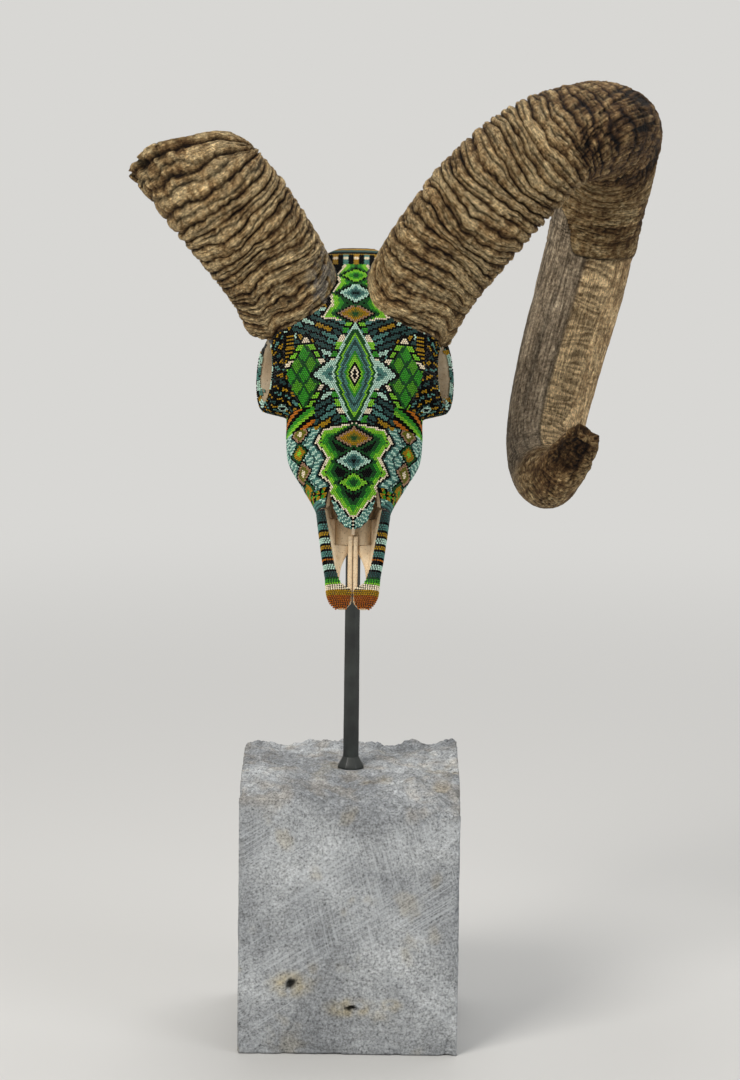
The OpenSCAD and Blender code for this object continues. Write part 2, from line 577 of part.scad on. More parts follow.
// Horn sheath: a hollow base that sits over the core, then solid to its end
module horn_sheath(course, core_end, end, break_slant, break_depth) {
    base = [for (a = horn_turns) horn_exit(course, a, 1, 0)];
    middle = mean(base);
    places = ridge_places(middle, end);
    hollow = core_rings(course, core_end, -sheath_t);
    outer = [for (k = [0:len(places) - 1]) [for (i = [0:horn_sides - 1])
        let (u = places[k], a = horn_turns[i])
        let (slant = (base[i] - middle) * exp(-(u - middle) / 0.8))
        let (near = smooth((u - end + break_fade) / break_fade))
        let (broken = near * break_slant * cos(a) + near ^ 4 * break_depth * ragged(a))
        let (shift = ridge_shift(a, u, middle, end))
        horn_point(course, u + slant + broken + shift, a, 1, k == 0 ? 0 : ridge_rise(k, u))]];
    color(horn) skin(concat([for (k = [len(hollow) - 1:-1:0]) hollow[k]], outer));
}

// Room left round a horn's base by the beads: above 1 outside it
function horn_room(course, p) =
    let (gaps = [for (u = [0:0.1:2.4]) norm(p - course_at(course, u))])
    let (u = 0.1 * [for (i = [0:len(gaps) - 1]) if (gaps[i] == min(gaps)) i][0])
    let (t = horn_way(course, u), b = unit([1, 0, 0] - t[0] * t))
    let (n = cross(t, b), q = p - course_at(course, u), room = bead_horn_gap)
    norm([q * b / (curve(horn_across, u) + room), q * n / (curve(horn_deep, u) + room)]);
function clear_angle(course, w, low, high, tries = 10) =
    let (half = (low + high) / 2)
    tries == 0 ? low
    : horn_room(course, skull_at(half, w)) > 1 ? clear_angle(course, w, half, high, tries - 1)
    : clear_angle(course, w, low, half, tries - 1);
// Point on the straight slope from an eye socket's rim to the edge of its bone
function slope_at(turn, f, t) = (1 - f) * orbit_at_ray(turn, ray_find(turn, rim_rings[2]), t)
    + f * orbit_at_ray(turn, 1, t);
function clear_share(course, turn, low = 0.1, high = 1, tries = 10) =
    let (half = (low + high) / 2)
    horn_room(course, slope_at(turn, 1, 0)) > 1 ? 1
    : tries == 0 ? low
    : horn_room(course, slope_at(turn, half, 0)) > 1 ? clear_share(course, turn, half, high, tries - 1)
    : clear_share(course, turn, low, half, tries - 1);

wax_low = wax_gap;
wax_high = wax_gap + bead_layer;
module wax(angles, from, to, rows) {
    half = suture_gap / 2;
    color(glass_bead) skull_plate(angles, moved(from, half), moved(to, -half), rows, wax_low, wax_high);
}

// Forehead and crown, drawn in between the horns
crown_end = crest_at + 14 * along;
crown_edges = [[crest_at - 20 * along, brow_edge], [crest_at, 34], [crown_end, 26]];
function crown_reach(w) = w < crown_edges[0][0] ? brow_edge : min(brow_edge, curve(crown_edges, w));
// Extra gap where the wax spans the curve between two bones, and round the eye sockets
crown_lift = 1.1;
slope_lift = 0.8;
module beadwork_forehead() {
    stations = steps(brow_at + suture_gap / 2, crown_end, 16);
    grid = [for (w = stations)
        let (right = clear_angle(horn_course_right, w, 2, crown_reach(w)))
        let (left = clear_angle(horn_course_left, w, 2, crown_reach(w)))
        [for (a = steps(-left, right, 12)) [a, w]]];
    color(glass_bead) in_skull()
        plate([for (row = grid) [for (g = row) skull_off(g[0], g[1], wax_high + crown_lift)]],
            [for (row = grid) [for (g = row) skull_off(g[0], g[1], wax_low + crown_lift)]]);
}
module beadwork_nose() {
    angles = concat([for (k = [len(nasal_angles) - 1:-1:0]) -nasal_angles[k]], nasal_angles);
    in_skull() wax(angles, [for (a = angles) nasal_front(abs(a))], same(angles, brow_at), 8);
}
module beadwork_cheek() {
    front = [for (a = bead_cheek_angles) cheek_front(a)];
    wax(bead_cheek_angles, front, same(bead_cheek_angles, brow_at), 9);
}
module beadwork_orbit(course) {
    shares = [for (a = orbit_turns) clear_share(course, a)];
    skins = [for (t = [wax_high, wax_low]) concat([for (g = rim_rings) orbit_ring(g, t)],
        [[for (i = [0:orbit_sides - 1]) slope_at(orbit_turns[i], shares[i], t + slope_lift)]])];
    color(glass_bead) plate(skins[0], skins[1], true);
}
module muzzle_wax(stations, first) {
    turns = [for (i = [first:4]) i * 360 / arm_sides];
    plate([for (w = stations) [for (a = turns) arm_off(a, w, wax_high)]],
        [for (w = stations) [for (a = turns) arm_off(a, w, wax_low)]]);
}
// The beads cover the rounded lobe, and only the outer side of the arm above it
lobe_stations = 7;
module beadwork_muzzle() {
    stations = [for (w = arm_stations) max(w, 1)];
    color(glass_bead) union() {
        muzzle_wax([for (k = [0:lobe_stations - 1]) stations[k]], -2);
        muzzle_wax([for (k = [lobe_stations - 1:len(stations) - 1]) stations[k]], 0);
    }
}

// Stone: sawn sides and underside, and a broken top that falls towards the front
top_cells = 13;
top_lift = 2;
sawn_h = block_h - top_fall_right - 25;
function wave(x, y) = sin(x * 4.1 + y * 1.7 + 20) * 0.5 + sin(y * 5.3 - x * 2.9 + 70) * 0.35
    + sin(x * 9.7 + 30) * sin(y * 8.9 + 110) * 0.3 + sin(x * 13.1 + 200) * sin(y * 14.3 + 40) * 0.35;
function broken_top(x, y) =
    let (front = max(0, -y / (block_d / 2) - 0.25) / 0.75, side = x / block_w + 0.5)
    let (fall = (top_fall_left + (top_fall_right - top_fall_left) * side) * front ^ 1.6)
    let (near = smooth(norm([x, y]) / 40 - 0.3))
    block_h + top_lift - fall + top_rough * wave(x, y) * near;
module stone_top() {
    lines = steps(-0.5, 0.5, top_cells);
    plan = [for (b = lines) [for (a = lines) [a * block_w, b * block_d]]];
    top = [for (row = plan) [for (p = row) [p[0], p[1], broken_top(p[0], p[1])]]];
    low = [for (row = plan) [for (p = row) [p[0], p[1], sawn_h - 5]]];
    plate(top, low);
}
module stone_block() {
    socket_d = tang_d + 2 * (resin_t + 2 * bond_gap);
    color(limestone) difference() {
        union() {
            translate([-block_w / 2, -block_d / 2, 0]) cube([block_w, block_d, sawn_h]);
            stone_top();
        }
        translate([0, 0, rod_seat - tang_len - resin_t])
            cylinder(d = socket_d, h = tang_len + 40, $fn = round_fn);
        translate([0, 0, rod_seat]) cylinder(d = across_corners(collar_w) + 1, h = 40, $fn = round_fn);
    }
}
module anchor_resin() {
    color(resin) translate([0, 0, rod_seat - tang_len - resin_t + bond_gap]) difference() {
        cylinder(d = tang_d + 2 * (resin_t + bond_gap), h = tang_len + resin_t - 2 * bond_gap,
            $fn = round_fn);
        translate([0, 0, resin_t - bond_gap])
            cylinder(d = tang_d + 2 * bond_gap, h = tang_len + 1, $fn = round_fn);
    }
}

// Rod and collar: eight flats, one of them to the front
function across_corners(flats) = flats / cos(22.5);
module eight_sided(low, high, h) {
    rotate([0, 0, 22.5]) cylinder(d1 = across_corners(low), d2 = across_corners(high), h = h, $fn = 8);
}
module foot_collar() {
    color(black_steel) translate([0, 0, rod_seat]) difference() {
        eight_sided(collar_w, rod_foot_w + 0.6, collar_h);
        translate([0, 0, -1]) cylinder(d = tang_d + 2 * bond_gap, h = collar_h + 2, $fn = round_fn);
    }
}
module support_rod() {
    color(black_steel) union() {
        translate([0, 0, rod_seat - tang_len])
            cylinder(d = tang_d, h = tang_len + collar_h + 1, $fn = round_fn);
        translate([0, 0, rod_shoulder]) eight_sided(rod_foot_w, rod_head_w, rod_neck - rod_shoulder);
        translate([0, 0, rod_neck - 1]) cylinder(d = tenon_d, h = rod_top - rod_neck + 1, $fn = round_fn);
    }
}

stone_block();
anchor_resin();
foot_collar();
support_rod();
braincase_fill();
frontal_bone();
occipital_bone();
skull_base();
hard_palate();
vomer();
left_and_in_skull() nasal_bone();  // nasal_bone_left
in_skull() nasal_bone();  // nasal_bone_right
left_and_in_skull() maxilla();  // maxilla_left
in_skull() maxilla();  // maxilla_right
left_and_in_skull() orbit_bone();  // orbit_bone_left
in_skull() orbit_bone();  // orbit_bone_right
left_and_in_skull() temporal_bone();  // temporal_bone_left
in_skull() temporal_bone();  // temporal_bone_right
left_and_in_skull() pterygoid();  // pterygoid_left
in_skull() pterygoid();  // pterygoid_right
left_and_in_skull() premaxilla();  // premaxilla_left
in_skull() premaxilla();  // premaxilla_right
left_and_in_skull() cheek_teeth();  // cheek_teeth_left
in_skull() cheek_teeth();  // cheek_teeth_right
left_and_in_skull() horn_core(horn_course_left, core_end_left);  // horn_core_left
in_skull() horn_core(horn_course_right, core_end_right);  // horn_core_right
left_and_in_skull() horn_sheath(horn_course_left, core_end_left, horn_end_left,  // horn_sheath_left
        break_slant_left, break_depth_left);
in_skull() horn_sheath(horn_course_right, core_end_right, horn_end_right,  // horn_sheath_right
        break_slant_right, break_depth_right);
beadwork_forehead();
beadwork_nose();
left_and_in_skull() beadwork_cheek();  // beadwork_cheek_left
in_skull() beadwork_cheek();  // beadwork_cheek_right
left_and_in_skull() beadwork_orbit(horn_course_left);  // beadwork_orbit_left
in_skull() beadwork_orbit(horn_course_right);  // beadwork_orbit_right
left_and_in_skull() beadwork_muzzle();  // beadwork_muzzle_left
in_skull() beadwork_muzzle();  // beadwork_muzzle_right
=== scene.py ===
import math

import bmesh
import bpy
import numpy as np
from mathutils import Matrix, Vector

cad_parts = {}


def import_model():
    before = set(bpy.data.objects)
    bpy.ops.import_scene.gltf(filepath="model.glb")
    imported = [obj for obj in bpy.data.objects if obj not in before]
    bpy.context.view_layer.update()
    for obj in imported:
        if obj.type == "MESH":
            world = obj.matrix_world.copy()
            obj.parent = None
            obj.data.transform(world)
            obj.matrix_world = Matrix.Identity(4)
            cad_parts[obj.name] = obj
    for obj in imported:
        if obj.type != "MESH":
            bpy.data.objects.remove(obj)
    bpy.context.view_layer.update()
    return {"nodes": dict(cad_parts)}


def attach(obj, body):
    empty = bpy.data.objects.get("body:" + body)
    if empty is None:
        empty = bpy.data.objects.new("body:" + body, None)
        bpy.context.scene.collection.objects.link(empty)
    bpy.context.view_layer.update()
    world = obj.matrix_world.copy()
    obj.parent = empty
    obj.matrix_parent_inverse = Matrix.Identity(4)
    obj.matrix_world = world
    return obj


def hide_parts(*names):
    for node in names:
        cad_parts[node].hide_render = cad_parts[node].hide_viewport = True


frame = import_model()
# Sizes in millimetres, as in the solids
BLOCK_W, BLOCK_D, BLOCK_H = 158.0, 160.0, 192.0
ROD_FOOT, ROD_WIDE, ROD_NARROW = BLOCK_H + 8, 11.2, 9.8
# Heights over the stone and widths over the flats
COLLAR = [(0, 18.7), (1.2, 18.7), (4, 15.6), (7.2, 12.2), (8, 11.8), (8.3, 11.2)]
# Cavities low on the stone's front: place across and up, half sizes, depth
CAVITIES = ((-40, 51, 4.2, 2.6, 5), (2, 34, 4.6, 2.0, 4.5), (31, 36, 2.0, 1.4, 0.6))

# Skull: its lean, the place of its tip, and stations along it from the tip
TILT = math.radians(23)
TIP = np.array([0.0, -60.0, 320.0])
NASAL, NOTCH, CHEEK, BROW = 51.2, 66.2, 118.0, 130.0
ORBIT, SHELF, CREST, END = 160.0, 193.0, 236.0, 256.0
# Thickness of bone, half widths at the muzzle, cheeks and brow, and heights at the brow and tip
BONE = 3.5
MUZZLE, CHEEK_W, BROW_W, BROW_H, TIP_H = 22.5, 46.5, 58.5, 84.0, 30.0
# Half widths at mid height and at the top, then heights, by station
WIDTH = [[NASAL - 10, MUZZLE - 1], [NASAL, MUZZLE], [NASAL + 17, 25], [CHEEK - 32, 35], [CHEEK - 16, 44.5],
         [CHEEK, CHEEK_W], [BROW + 4, 47], [ORBIT - 10, 55.5], [ORBIT, BROW_W], [SHELF - 3, 59.5],
         [SHELF + 19, 56.5], [CREST, 44.5], [END, 16]]
CROWN = [[NASAL - 10, 20], [NASAL + 24, 26], [CHEEK - 18, 34], [CHEEK + 2, 38], [BROW + 10, 52.5],
         [ORBIT, 60.5], [SHELF - 3, 60.5], [CREST, 44.5], [END, 16]]
TOP = [[NASAL - 10, 24], [NASAL, TIP_H], [NASAL + 24, 43], [CHEEK - 18, 57], [BROW, 73], [ORBIT - 10, 80],
       [ORBIT + 10, BROW_H], [SHELF + 2, 83], [SHELF + 22, 79], [CREST - 3, 68], [CREST + 10, 53],
       [END, 32]]
MID = [[NASAL - 10, 6], [NASAL + 24, 10], [CHEEK - 18, 14], [CHEEK + 2, 18], [BROW + 10, 32], [ORBIT, 40],
       [SHELF + 7, 42], [CREST - 6, 36], [END, 19]]
BOTTOM = [[NASAL - 10, -6], [CHEEK - 18, -3], [BROW + 20, -1], [ORBIT + 20, 4], [SHELF + 17, 8],
          [CREST + 4, 8], [END, 8]]
# Angles round the skull, from the middle of the face, where bones and beads end, and of the tooth ridge
NASAL_EDGE, BROW_EDGE, SOCKET_EDGE, PALATE_EDGE, BASE_EDGE, BEAD_EDGE = 32, 50, 135, 163, 165, 112
RIDGE_TURN = 147

# Arms of the muzzle: inner and outer sides, top and bottom by station, and the slit beside them
ARM_IN = [[0, 5], [4, 1.2], [9, 0.4], [13, 0.4], [16, 6], [19, 8.6], [26, 10], [36, 11.6], [50, 14],
          [66, 17.5]]
ARM_OUT = [[0, 10], [4, 14.2], [9, 16.6], [16, 17.6], [22, 18], [36, 20.4], [50, 22.4], [66, 24.6]]
ARM_TOP = [[0, 1], [4, 3], [9, 4.2], [16, 5.2], [26, 7], [36, 9.5], [50, 16], [58, 22], [66, 29]]
ARM_BOTTOM = [[0, -3], [4, -5], [9, -6], [20, -6], [66, -5]]
SLIT = [[22, 9.4], [27, 9], [32, 8], [37, 6], [42, 3.4], [47.2, 3.4]]

# Horns: half sizes by point of the course, and the courses from their root
HORN_ACROSS = [[0, 35], [1, 38], [2, 40], [3, 40], [4, 38.5], [5, 37], [7, 35.5], [9, 33], [11, 29],
               [12, 25], [13, 20], [14, 11]]
HORN_DEEP = [[0, 29], [1, 31], [2, 33], [4, 34], [6, 35], [8, 33], [10, 29], [12, 25], [13, 20], [14, 11]]
ROOT = np.array([34.0, -40.0, 192.0])
RIGHT = ROOT + np.array([[-8, 1, -7], [15, -35, 32], [46, -53, 70], [76, -53, 102], [102, -39, 127],
                         [129, -14, 146], [147, 24, 160], [149, 69, 155], [144, 108, 128], [133, 138, 81],
                         [117, 153, 19], [106, 145, -37], [105, 117, -72], [113, 84, -80], [132, 54, -60]])
LEFT = ROOT + np.array([[2, 0, 0], [20, -34, 32], [46, -53, 65], [71, -54, 93], [92, -43, 119],
                        [110, -24, 141]])
RIGHT_END, LEFT_END = 14.0, 3.42
# Where the whole horn's outer layer ends in a step, and where its mesh is cut
LAYER_END, LAYER_CUT = 8.5, 8.52
# Lobes of the section, then height, step, spacing and slant of the growth ridges by place
LOBE = [[0, 0.04], [6.5, 0.04], [8, 0], [9.2, 0.08], [10.4, 0.08], [11.6, 0.02], [14, 0]]
RIDGE_H, RIDGE_STEP = 3.2, 0.22
RIDGE_GAPS = [[0, 0.75], [1.2, 0.75], [2.2, 1], [4.6, 1.1], [6, 1.4], [8.4, 1.4], [9, 4], [14, 4]]
RIDGE_HEIGHTS = [[0, 0.5], [1.2, 0.65], [2.2, 1], [4.4, 1], [5.2, 0.6], [6, 0.35], [8.4, 0.3], [9, 0.1],
                 [12.5, 0.1], [14, 0.3]]
DIPS = [[0, 0], [1, 0], [2, 0.17], [3, 0.45], [4, 0.6], [5, 0.45], [6, 0.1], [6.6, 0], [14, 0]]
DIP_TURNS = [[0, -100], [2, -92], [3, -70], [4, -46], [5, -26], [14, -26]]

# Beads: pitch along a row and between rows, heights of beads and wax over the bone, section of a bead
PITCH, ROW, BEAD_LIFT = 1.46, 1.27, 1.3
WAX_TOP, WAX_FOOT = 0.95, 0.1
RING = np.array([(0.60, -0.45), (0.67, 0.0), (0.56, 0.36), (0.36, 0.46), (0.20, 0.30), (0.18, -0.15)])


# Small tools
def smooth(f):
    g = np.clip(f, 0, 1)
    return g * g * (3 - 2 * g)


def unit(v):
    return v / np.maximum(np.linalg.norm(v, axis=-1, keepdims=True), 1e-9)


def hermite(a, b, m, n, f):
    return ((2 * f**3 - 3 * f**2 + 1) * a + (f**3 - 2 * f**2 + f) * m
            + (3 * f**2 - 2 * f**3) * b + (f**3 - f**2) * n)


def curve(line, t):
    """A smooth line through points, at t."""
    line = np.asarray(line, float)
    x, y = line[:, 0], line[:, 1]
    i = np.clip(np.searchsorted(x, t, side="right") - 1, 0, len(x) - 2)
    o, r = np.maximum(i - 1, 0), np.minimum(i + 2, len(x) - 1)
    d = x[i + 1] - x[i]
    f = np.clip((t - x[i]) / d, 0, 1)
    return hermite(y[i], y[i + 1], d * (y[i + 1] - y[o]) / (x[i + 1] - x[o]),
                   d * (y[r] - y[i]) / (x[r] - x[i]), f)


def run_length(p):
    """Length along a line of points, at each point."""
    return np.concatenate([[0], np.cumsum(np.linalg.norm(np.diff(p, axis=0), axis=1))])


def side_of(left):
    return "left" if left else "right"


def noise(p, seed=0):
    """Smooth noise from -1 to 1 at each point."""
    p = np.asarray(p, float)
    i = np.floor(p).astype(np.int64)
    f = p - i
    f = f * f * (3 - 2 * f)

    def mark(x, y, z):
        n = (x * 374761393 + y * 668265263 + z * 1442695041 + seed * 974634777) & 0xFFFFFFFF
        n = ((n ^ (n >> 13)) * 1274126177) & 0xFFFFFFFF
        return ((n ^ (n >> 16)) & 0xFFFF) / 32767.5 - 1

    x, y, z = i[..., 0], i[..., 1], i[..., 2]
    total = 0
    for a, b, c in np.ndindex(2, 2, 2):
        share = np.abs(1 - a - f[..., 0]) * np.abs(1 - b - f[..., 1]) * np.abs(1 - c - f[..., 2])
        total = total + share * mark(x + a, y + b, z + c)
    return total


def layered(p, layers=4, seed=0):
    total, size = 0, 1.0
    for k in range(layers):
        total = total + noise(p * 2.03**k + 17.3 * k, seed + k) * size
        size *= 0.5
    return total


def srgb(r, g, b):
    return tuple(((c / 255 + 0.055) / 1.055) ** 2.4 if c > 10 else c / 255 / 12.92 for c in (r, g, b))


# Shape of the skull in its own frame: across, back, along from the snout tip
def skull(phi, w):
    phi, w = np.broadcast_arrays(np.asarray(phi, float), np.asarray(w, float))
    turn = (phi + 180) % 360 - 180
    side, a = np.where(turn < 0, -1.0, 1.0), np.abs(turn)
    c, s = np.cos(np.radians(a)), np.abs(np.sin(np.radians(a)))
    m = np.maximum(c, 0)
    mid = curve(MID, w)
    reach = curve(WIDTH, w) * (1 - m) + curve(CROWN, w) * m
    end = np.where(c < 0, curve(BOTTOM, w), curve(TOP, w))
    level = mid + (end - mid) * np.abs(c) ** 0.7
    ridge = np.where(w > BROW, 0, smooth((15 - np.abs(a - RIDGE_TURN)) / 6) * smooth((BROW - w) / 4))
    return np.stack([side * reach * s**0.8, -(level + (-9 - level) * ridge), w], -1)


def skull_normal(phi, w):
    return unit(np.cross(skull(phi + 1, w) - skull(phi - 1, w), skull(phi, w + 0.5) - skull(phi, w - 0.5)))


def skull_off(phi, w, t):
    return skull(phi, w) + np.asarray(t)[..., None] * skull_normal(phi, w)


def in_bone(p, grow):
    """Whether points lie inside the skull, grown by a distance."""
    w, v = p[..., 2], -p[..., 1]
    mid = curve(MID, w)
    up = v >= mid
    end = np.where(up, curve(TOP, w) + grow, curve(BOTTOM, w) - grow)
    c = np.abs((v - mid) / (end - mid)) ** (1 / 0.7)
    m = np.where(up, c, 0)
    reach = curve(WIDTH, w) * (1 - m) + curve(CROWN, w) * m + grow
    return (w < END) & (c < 1) & (np.abs(p[..., 0]) < reach * np.sqrt(np.maximum(0, 1 - c * c)) ** 0.8)


def world(p):
    """From the skull's frame to the part's frame."""
    c, s = math.cos(TILT), math.sin(TILT)
    y, z = p[..., 1], p[..., 2]
    return TIP + np.stack([p[..., 0], y * c + z * s, z * c - y * s], -1)


def mirrored(p, on):
    return p * np.array([-1.0, 1, 1]) if on else p


# Meshes
def grid(rows, cols, wrap=False, base=0, flip=False):
    j, i = np.mgrid[0:rows - 1, 0:cols if wrap else cols - 1]
    a, b = base + j * cols + i, base + j * cols + (i + 1) % cols
    f = np.stack([a, b, b + cols, a + cols], -1).reshape(-1, 4)
    return f[:, ::-1] if flip else f


def make(name, verts, quads, mats, node, index=None, sharp=None, turn=True):
    """A mesh object from points in millimetres and quads, with its outside facing out."""
    verts, quads = np.asarray(verts, float).reshape(-1, 3), np.asarray(quads)
    if turn:
        a, b, c, d = (verts[quads[:, k]] - verts.mean(0) for k in range(4))
        volume = np.einsum("ij,ij->i", np.cross(a, b), c) + np.einsum("ij,ij->i", np.cross(a, c), d)
        if volume.sum() < 0:
            quads = quads[:, ::-1]
    me = bpy.data.meshes.new(name)
    me.vertices.add(len(verts))
    me.vertices.foreach_set("co", (verts * 0.001).astype(np.float32).ravel())
    me.loops.add(quads.size)
    me.loops.foreach_set("vertex_index", quads.astype(np.int32).ravel())
    me.polygons.add(len(quads))
    me.polygons.foreach_set("loop_start", np.arange(0, quads.size, 4, dtype=np.int32))
    me.polygons.foreach_set("use_smooth", np.ones(len(quads), bool))
    for m in mats:
        me.materials.append(m)
    if index is not None:
        me.polygons.foreach_set("material_index", np.asarray(index, np.int32))
    me.update(calc_edges=True)
    if sharp:
        me.set_sharp_from_angle(angle=math.radians(sharp))
    ob = bpy.data.objects.new(name, me)
    bpy.context.collection.objects.link(ob)
    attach(ob, "root")
    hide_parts(node)
    return ob


def attribute(ob, name, kind, values):
    made = ob.data.attributes.new(name, kind, "POINT")
    key = "color" if "COLOR" in kind else "vector" if "VECTOR" in kind else "value"
    made.data.foreach_set(key, np.asarray(values, np.float32).ravel())


def plate(outer, inner):
    """Points and quads of a closed plate between two grids."""
    r, c = outer.shape[:2]
    n = r * c
    rim = np.concatenate([np.arange(c), np.arange(1, r) * c + c - 1,
                          (r - 1) * c + np.arange(c - 2, -1, -1), np.arange(r - 2, 0, -1) * c])
    nxt = np.roll(rim, -1)
    walls = np.stack([nxt, rim, n + rim, n + nxt], -1)
    quads = np.concatenate([grid(r, c), grid(r, c, base=n, flip=True), walls])
    return np.concatenate([outer.reshape(-1, 3), inner.reshape(-1, 3)]), quads


def capped(rings):
    """Points and quads of a closed tube through rings."""
    r, c = rings.shape[:2]
    first, last = rings[0].mean(0), rings[-1].mean(0)
    full = np.concatenate([np.broadcast_to(first, (1, c, 3)), rings, np.broadcast_to(last, (1, c, 3))])
    return full.reshape(-1, 3), grid(r + 2, c, wrap=True)


def together(parts):
    """Points and quads of several meshes as one."""
    verts, quads, base = [], [], 0
    for v, q in parts:
        verts.append(v)
        quads.append(q + base)
        base += len(v)
    return np.concatenate(verts), np.concatenate(quads)


def merge(ob):
    """Joins points that lie in one place."""
    bm = bmesh.new()
    bm.from_mesh(ob.data)
    bmesh.ops.remove_doubles(bm, verts=bm.verts, dist=1e-5)
    bm.to_mesh(ob.data)
    bm.free()


# Materials
WHITE, NONE = (1, 1, 1), (0, 0, 0)


def material(name, rough, colour=(0.5, 0.5, 0.5), spec=0.5):
    m = bpy.data.materials.new(name)
    m.use_nodes = True
    b = m.node_tree.nodes["Principled BSDF"]
    b.inputs["Base Color"].default_value = (*colour, 1)
    b.inputs["Roughness"].default_value = rough
    b.inputs["Specular IOR Level"].default_value = spec
    return m, m.node_tree, b


def join(tree, *pairs):
    for out, socket in pairs:
        tree.links.new(out, socket)


def node(tree, kind, **values):
    n = tree.nodes.new(kind)
    for k, v in values.items():
        if k in n.inputs:
            n.inputs[k].default_value = v
        else:
            setattr(n, k, v)
    return n


def coordinate(tree, scale, name=None):
    if name:
        out = node(tree, "ShaderNodeAttribute", attribute_name=name).outputs["Vector"]
    else:
        out = node(tree, "ShaderNodeTexCoord").outputs["Object"]
    m = node(tree, "ShaderNodeMapping", Scale=scale if isinstance(scale, tuple) else (scale,) * 3)
    tree.links.new(out, m.inputs["Vector"])
    return m.outputs["Vector"]


def ramp(tree, fac, stops):
    r = tree.nodes.new("ShaderNodeValToRGB")
    e = r.color_ramp.elements
    while len(e) < len(stops):
        e.new(0.5)
    for k, (at, colour) in enumerate(stops):
        e[k].position = at
        e[k].color = (*colour, 1)
    tree.links.new(fac, r.inputs["Fac"])
    return r.outputs["Color"]


def speckle(tree, vector, scale, detail=5, rough=0.6):
    n = node(tree, "ShaderNodeTexNoise", Scale=scale, Detail=detail, Roughness=rough)
    tree.links.new(vector, n.inputs["Vector"])
    return n.outputs["Fac"]


def mixed(tree, kind, fac, a, b):
    m = node(tree, "ShaderNodeMix", data_type="RGBA", blend_type=kind)
    for socket, value in ((m.inputs[0], fac), (m.inputs[6], a), (m.inputs[7], b)):
        if isinstance(value, bpy.types.NodeSocket):
            tree.links.new(value, socket)
        else:
            socket.default_value = value if isinstance(value, float) else (*value, 1)
    return m.outputs[2]


def bumped(tree, shader, height, strength, distance):
    b = node(tree, "ShaderNodeBump", Strength=strength, Distance=distance)
    tree.links.new(height, b.inputs["Height"])
    tree.links.new(b.outputs["Normal"], shader.inputs["Normal"])


def stone_material():
    m, t, b = material("limestone", 0.85, spec=0.3)
    at = coordinate(t, 1.0)
    broad = ramp(t, speckle(t, at, 14, 6, 0.65), [(0.32, srgb(128, 131, 134)), (0.5, srgb(156, 159, 161)),
                                                  (0.68, srgb(192, 195, 196))])
    grain = ramp(t, speckle(t, at, 620, 5, 0.7), [(0.34, (0.36, 0.36, 0.37)), (0.5, (0.96, 0.96, 0.96)),
                                                  (0.66, (1.5, 1.5, 1.5))])
    veins = ramp(t, speckle(t, coordinate(t, (1, 1, 2.6)), 34, 7, 0.7),
                 [(0.475, WHITE), (0.495, (0.6, 0.59, 0.57)), (0.515, WHITE)])
    spots = ramp(t, speckle(t, at, 620, 3, 0.5), [(0.28, (0.5, 0.5, 0.5)), (0.36, WHITE)])
    both = broad
    for share, layer in ((0.9, grain), (0.7, veins), (0.6, spots)):
        both = mixed(t, "MULTIPLY", share, both, layer)
    tint = node(t, "ShaderNodeAttribute", attribute_name="tint")
    # Saw marks in two directions, worn away in patches
    for lean, seen, finish in ((0.58, 0.49, 0.66), (-1.32, 0.5, 0.68)):
        spun = node(t, "ShaderNodeMapping", Rotation=(0, lean, 0))
        drawn = node(t, "ShaderNodeMapping", Scale=(14, 14, 620), Location=(lean, 0, 0))
        place = node(t, "ShaderNodeMapping", Location=(3 * lean, 2.0, lean))
        join(t, (at, spun.inputs["Vector"]), (spun.outputs["Vector"], drawn.inputs["Vector"]),
             (at, place.inputs["Vector"]))
        saw = ramp(t, speckle(t, drawn.outputs["Vector"], 1.5, 3), [(seen, NONE), (finish, (0.55,) * 3)])
        worn = ramp(t, speckle(t, place.outputs["Vector"], 15, 3), [(0.45, NONE), (0.57, WHITE)])
        worn = mixed(t, "MULTIPLY", 1.0, worn, tint.outputs["Alpha"])
        both = mixed(t, "MIX", mixed(t, "MULTIPLY", 1.0, saw, worn), both, srgb(196, 200, 203))
    both = mixed(t, "MULTIPLY", 1.0, both, tint.outputs["Color"])
    t.links.new(both, b.inputs["Base Color"])
    bumped(t, b, speckle(t, at, 220, 8, 0.75), 0.7, 0.001)
    return m


def bone_material():
    m, t, b = material("bone", 0.62, spec=0.4)
    at = coordinate(t, 1.0)
    tone = ramp(t, speckle(t, at, 26, 6), [(0.3, srgb(172, 145, 112)), (0.5, srgb(206, 184, 150)),
                                          (0.72, srgb(226, 213, 188))])
    pores = ramp(t, speckle(t, at, 900, 3), [(0.34, srgb(120, 98, 74)), (0.42, WHITE)])
    tint = node(t, "ShaderNodeAttribute", attribute_name="tint")
    both = mixed(t, "MULTIPLY", 1.0, mixed(t, "MULTIPLY", 0.5, tone, pores), tint.outputs["Color"])
    t.links.new(both, b.inputs["Base Color"])
    bumped(t, b, speckle(t, at, 420, 6, 0.65), 0.35, 0.0006)
    return m


def stained(name, rough, spec, scale, detail, stops, bump=None):
    """A material with one ramp of colours over noise, and fine bumps on top."""
    m, t, b = material(name, rough, spec=spec)
    at = coordinate(t, 1.0)
    tone = ramp(t, speckle(t, at, scale, detail), [(place, srgb(*colour)) for place, colour in stops])
    t.links.new(tone, b.inputs["Base Color"])
    if bump:
        stretch, size, layers, soft, strength, distance = bump
        bumped(t, b, speckle(t, coordinate(t, stretch), size, layers, soft), strength, distance)
    return m


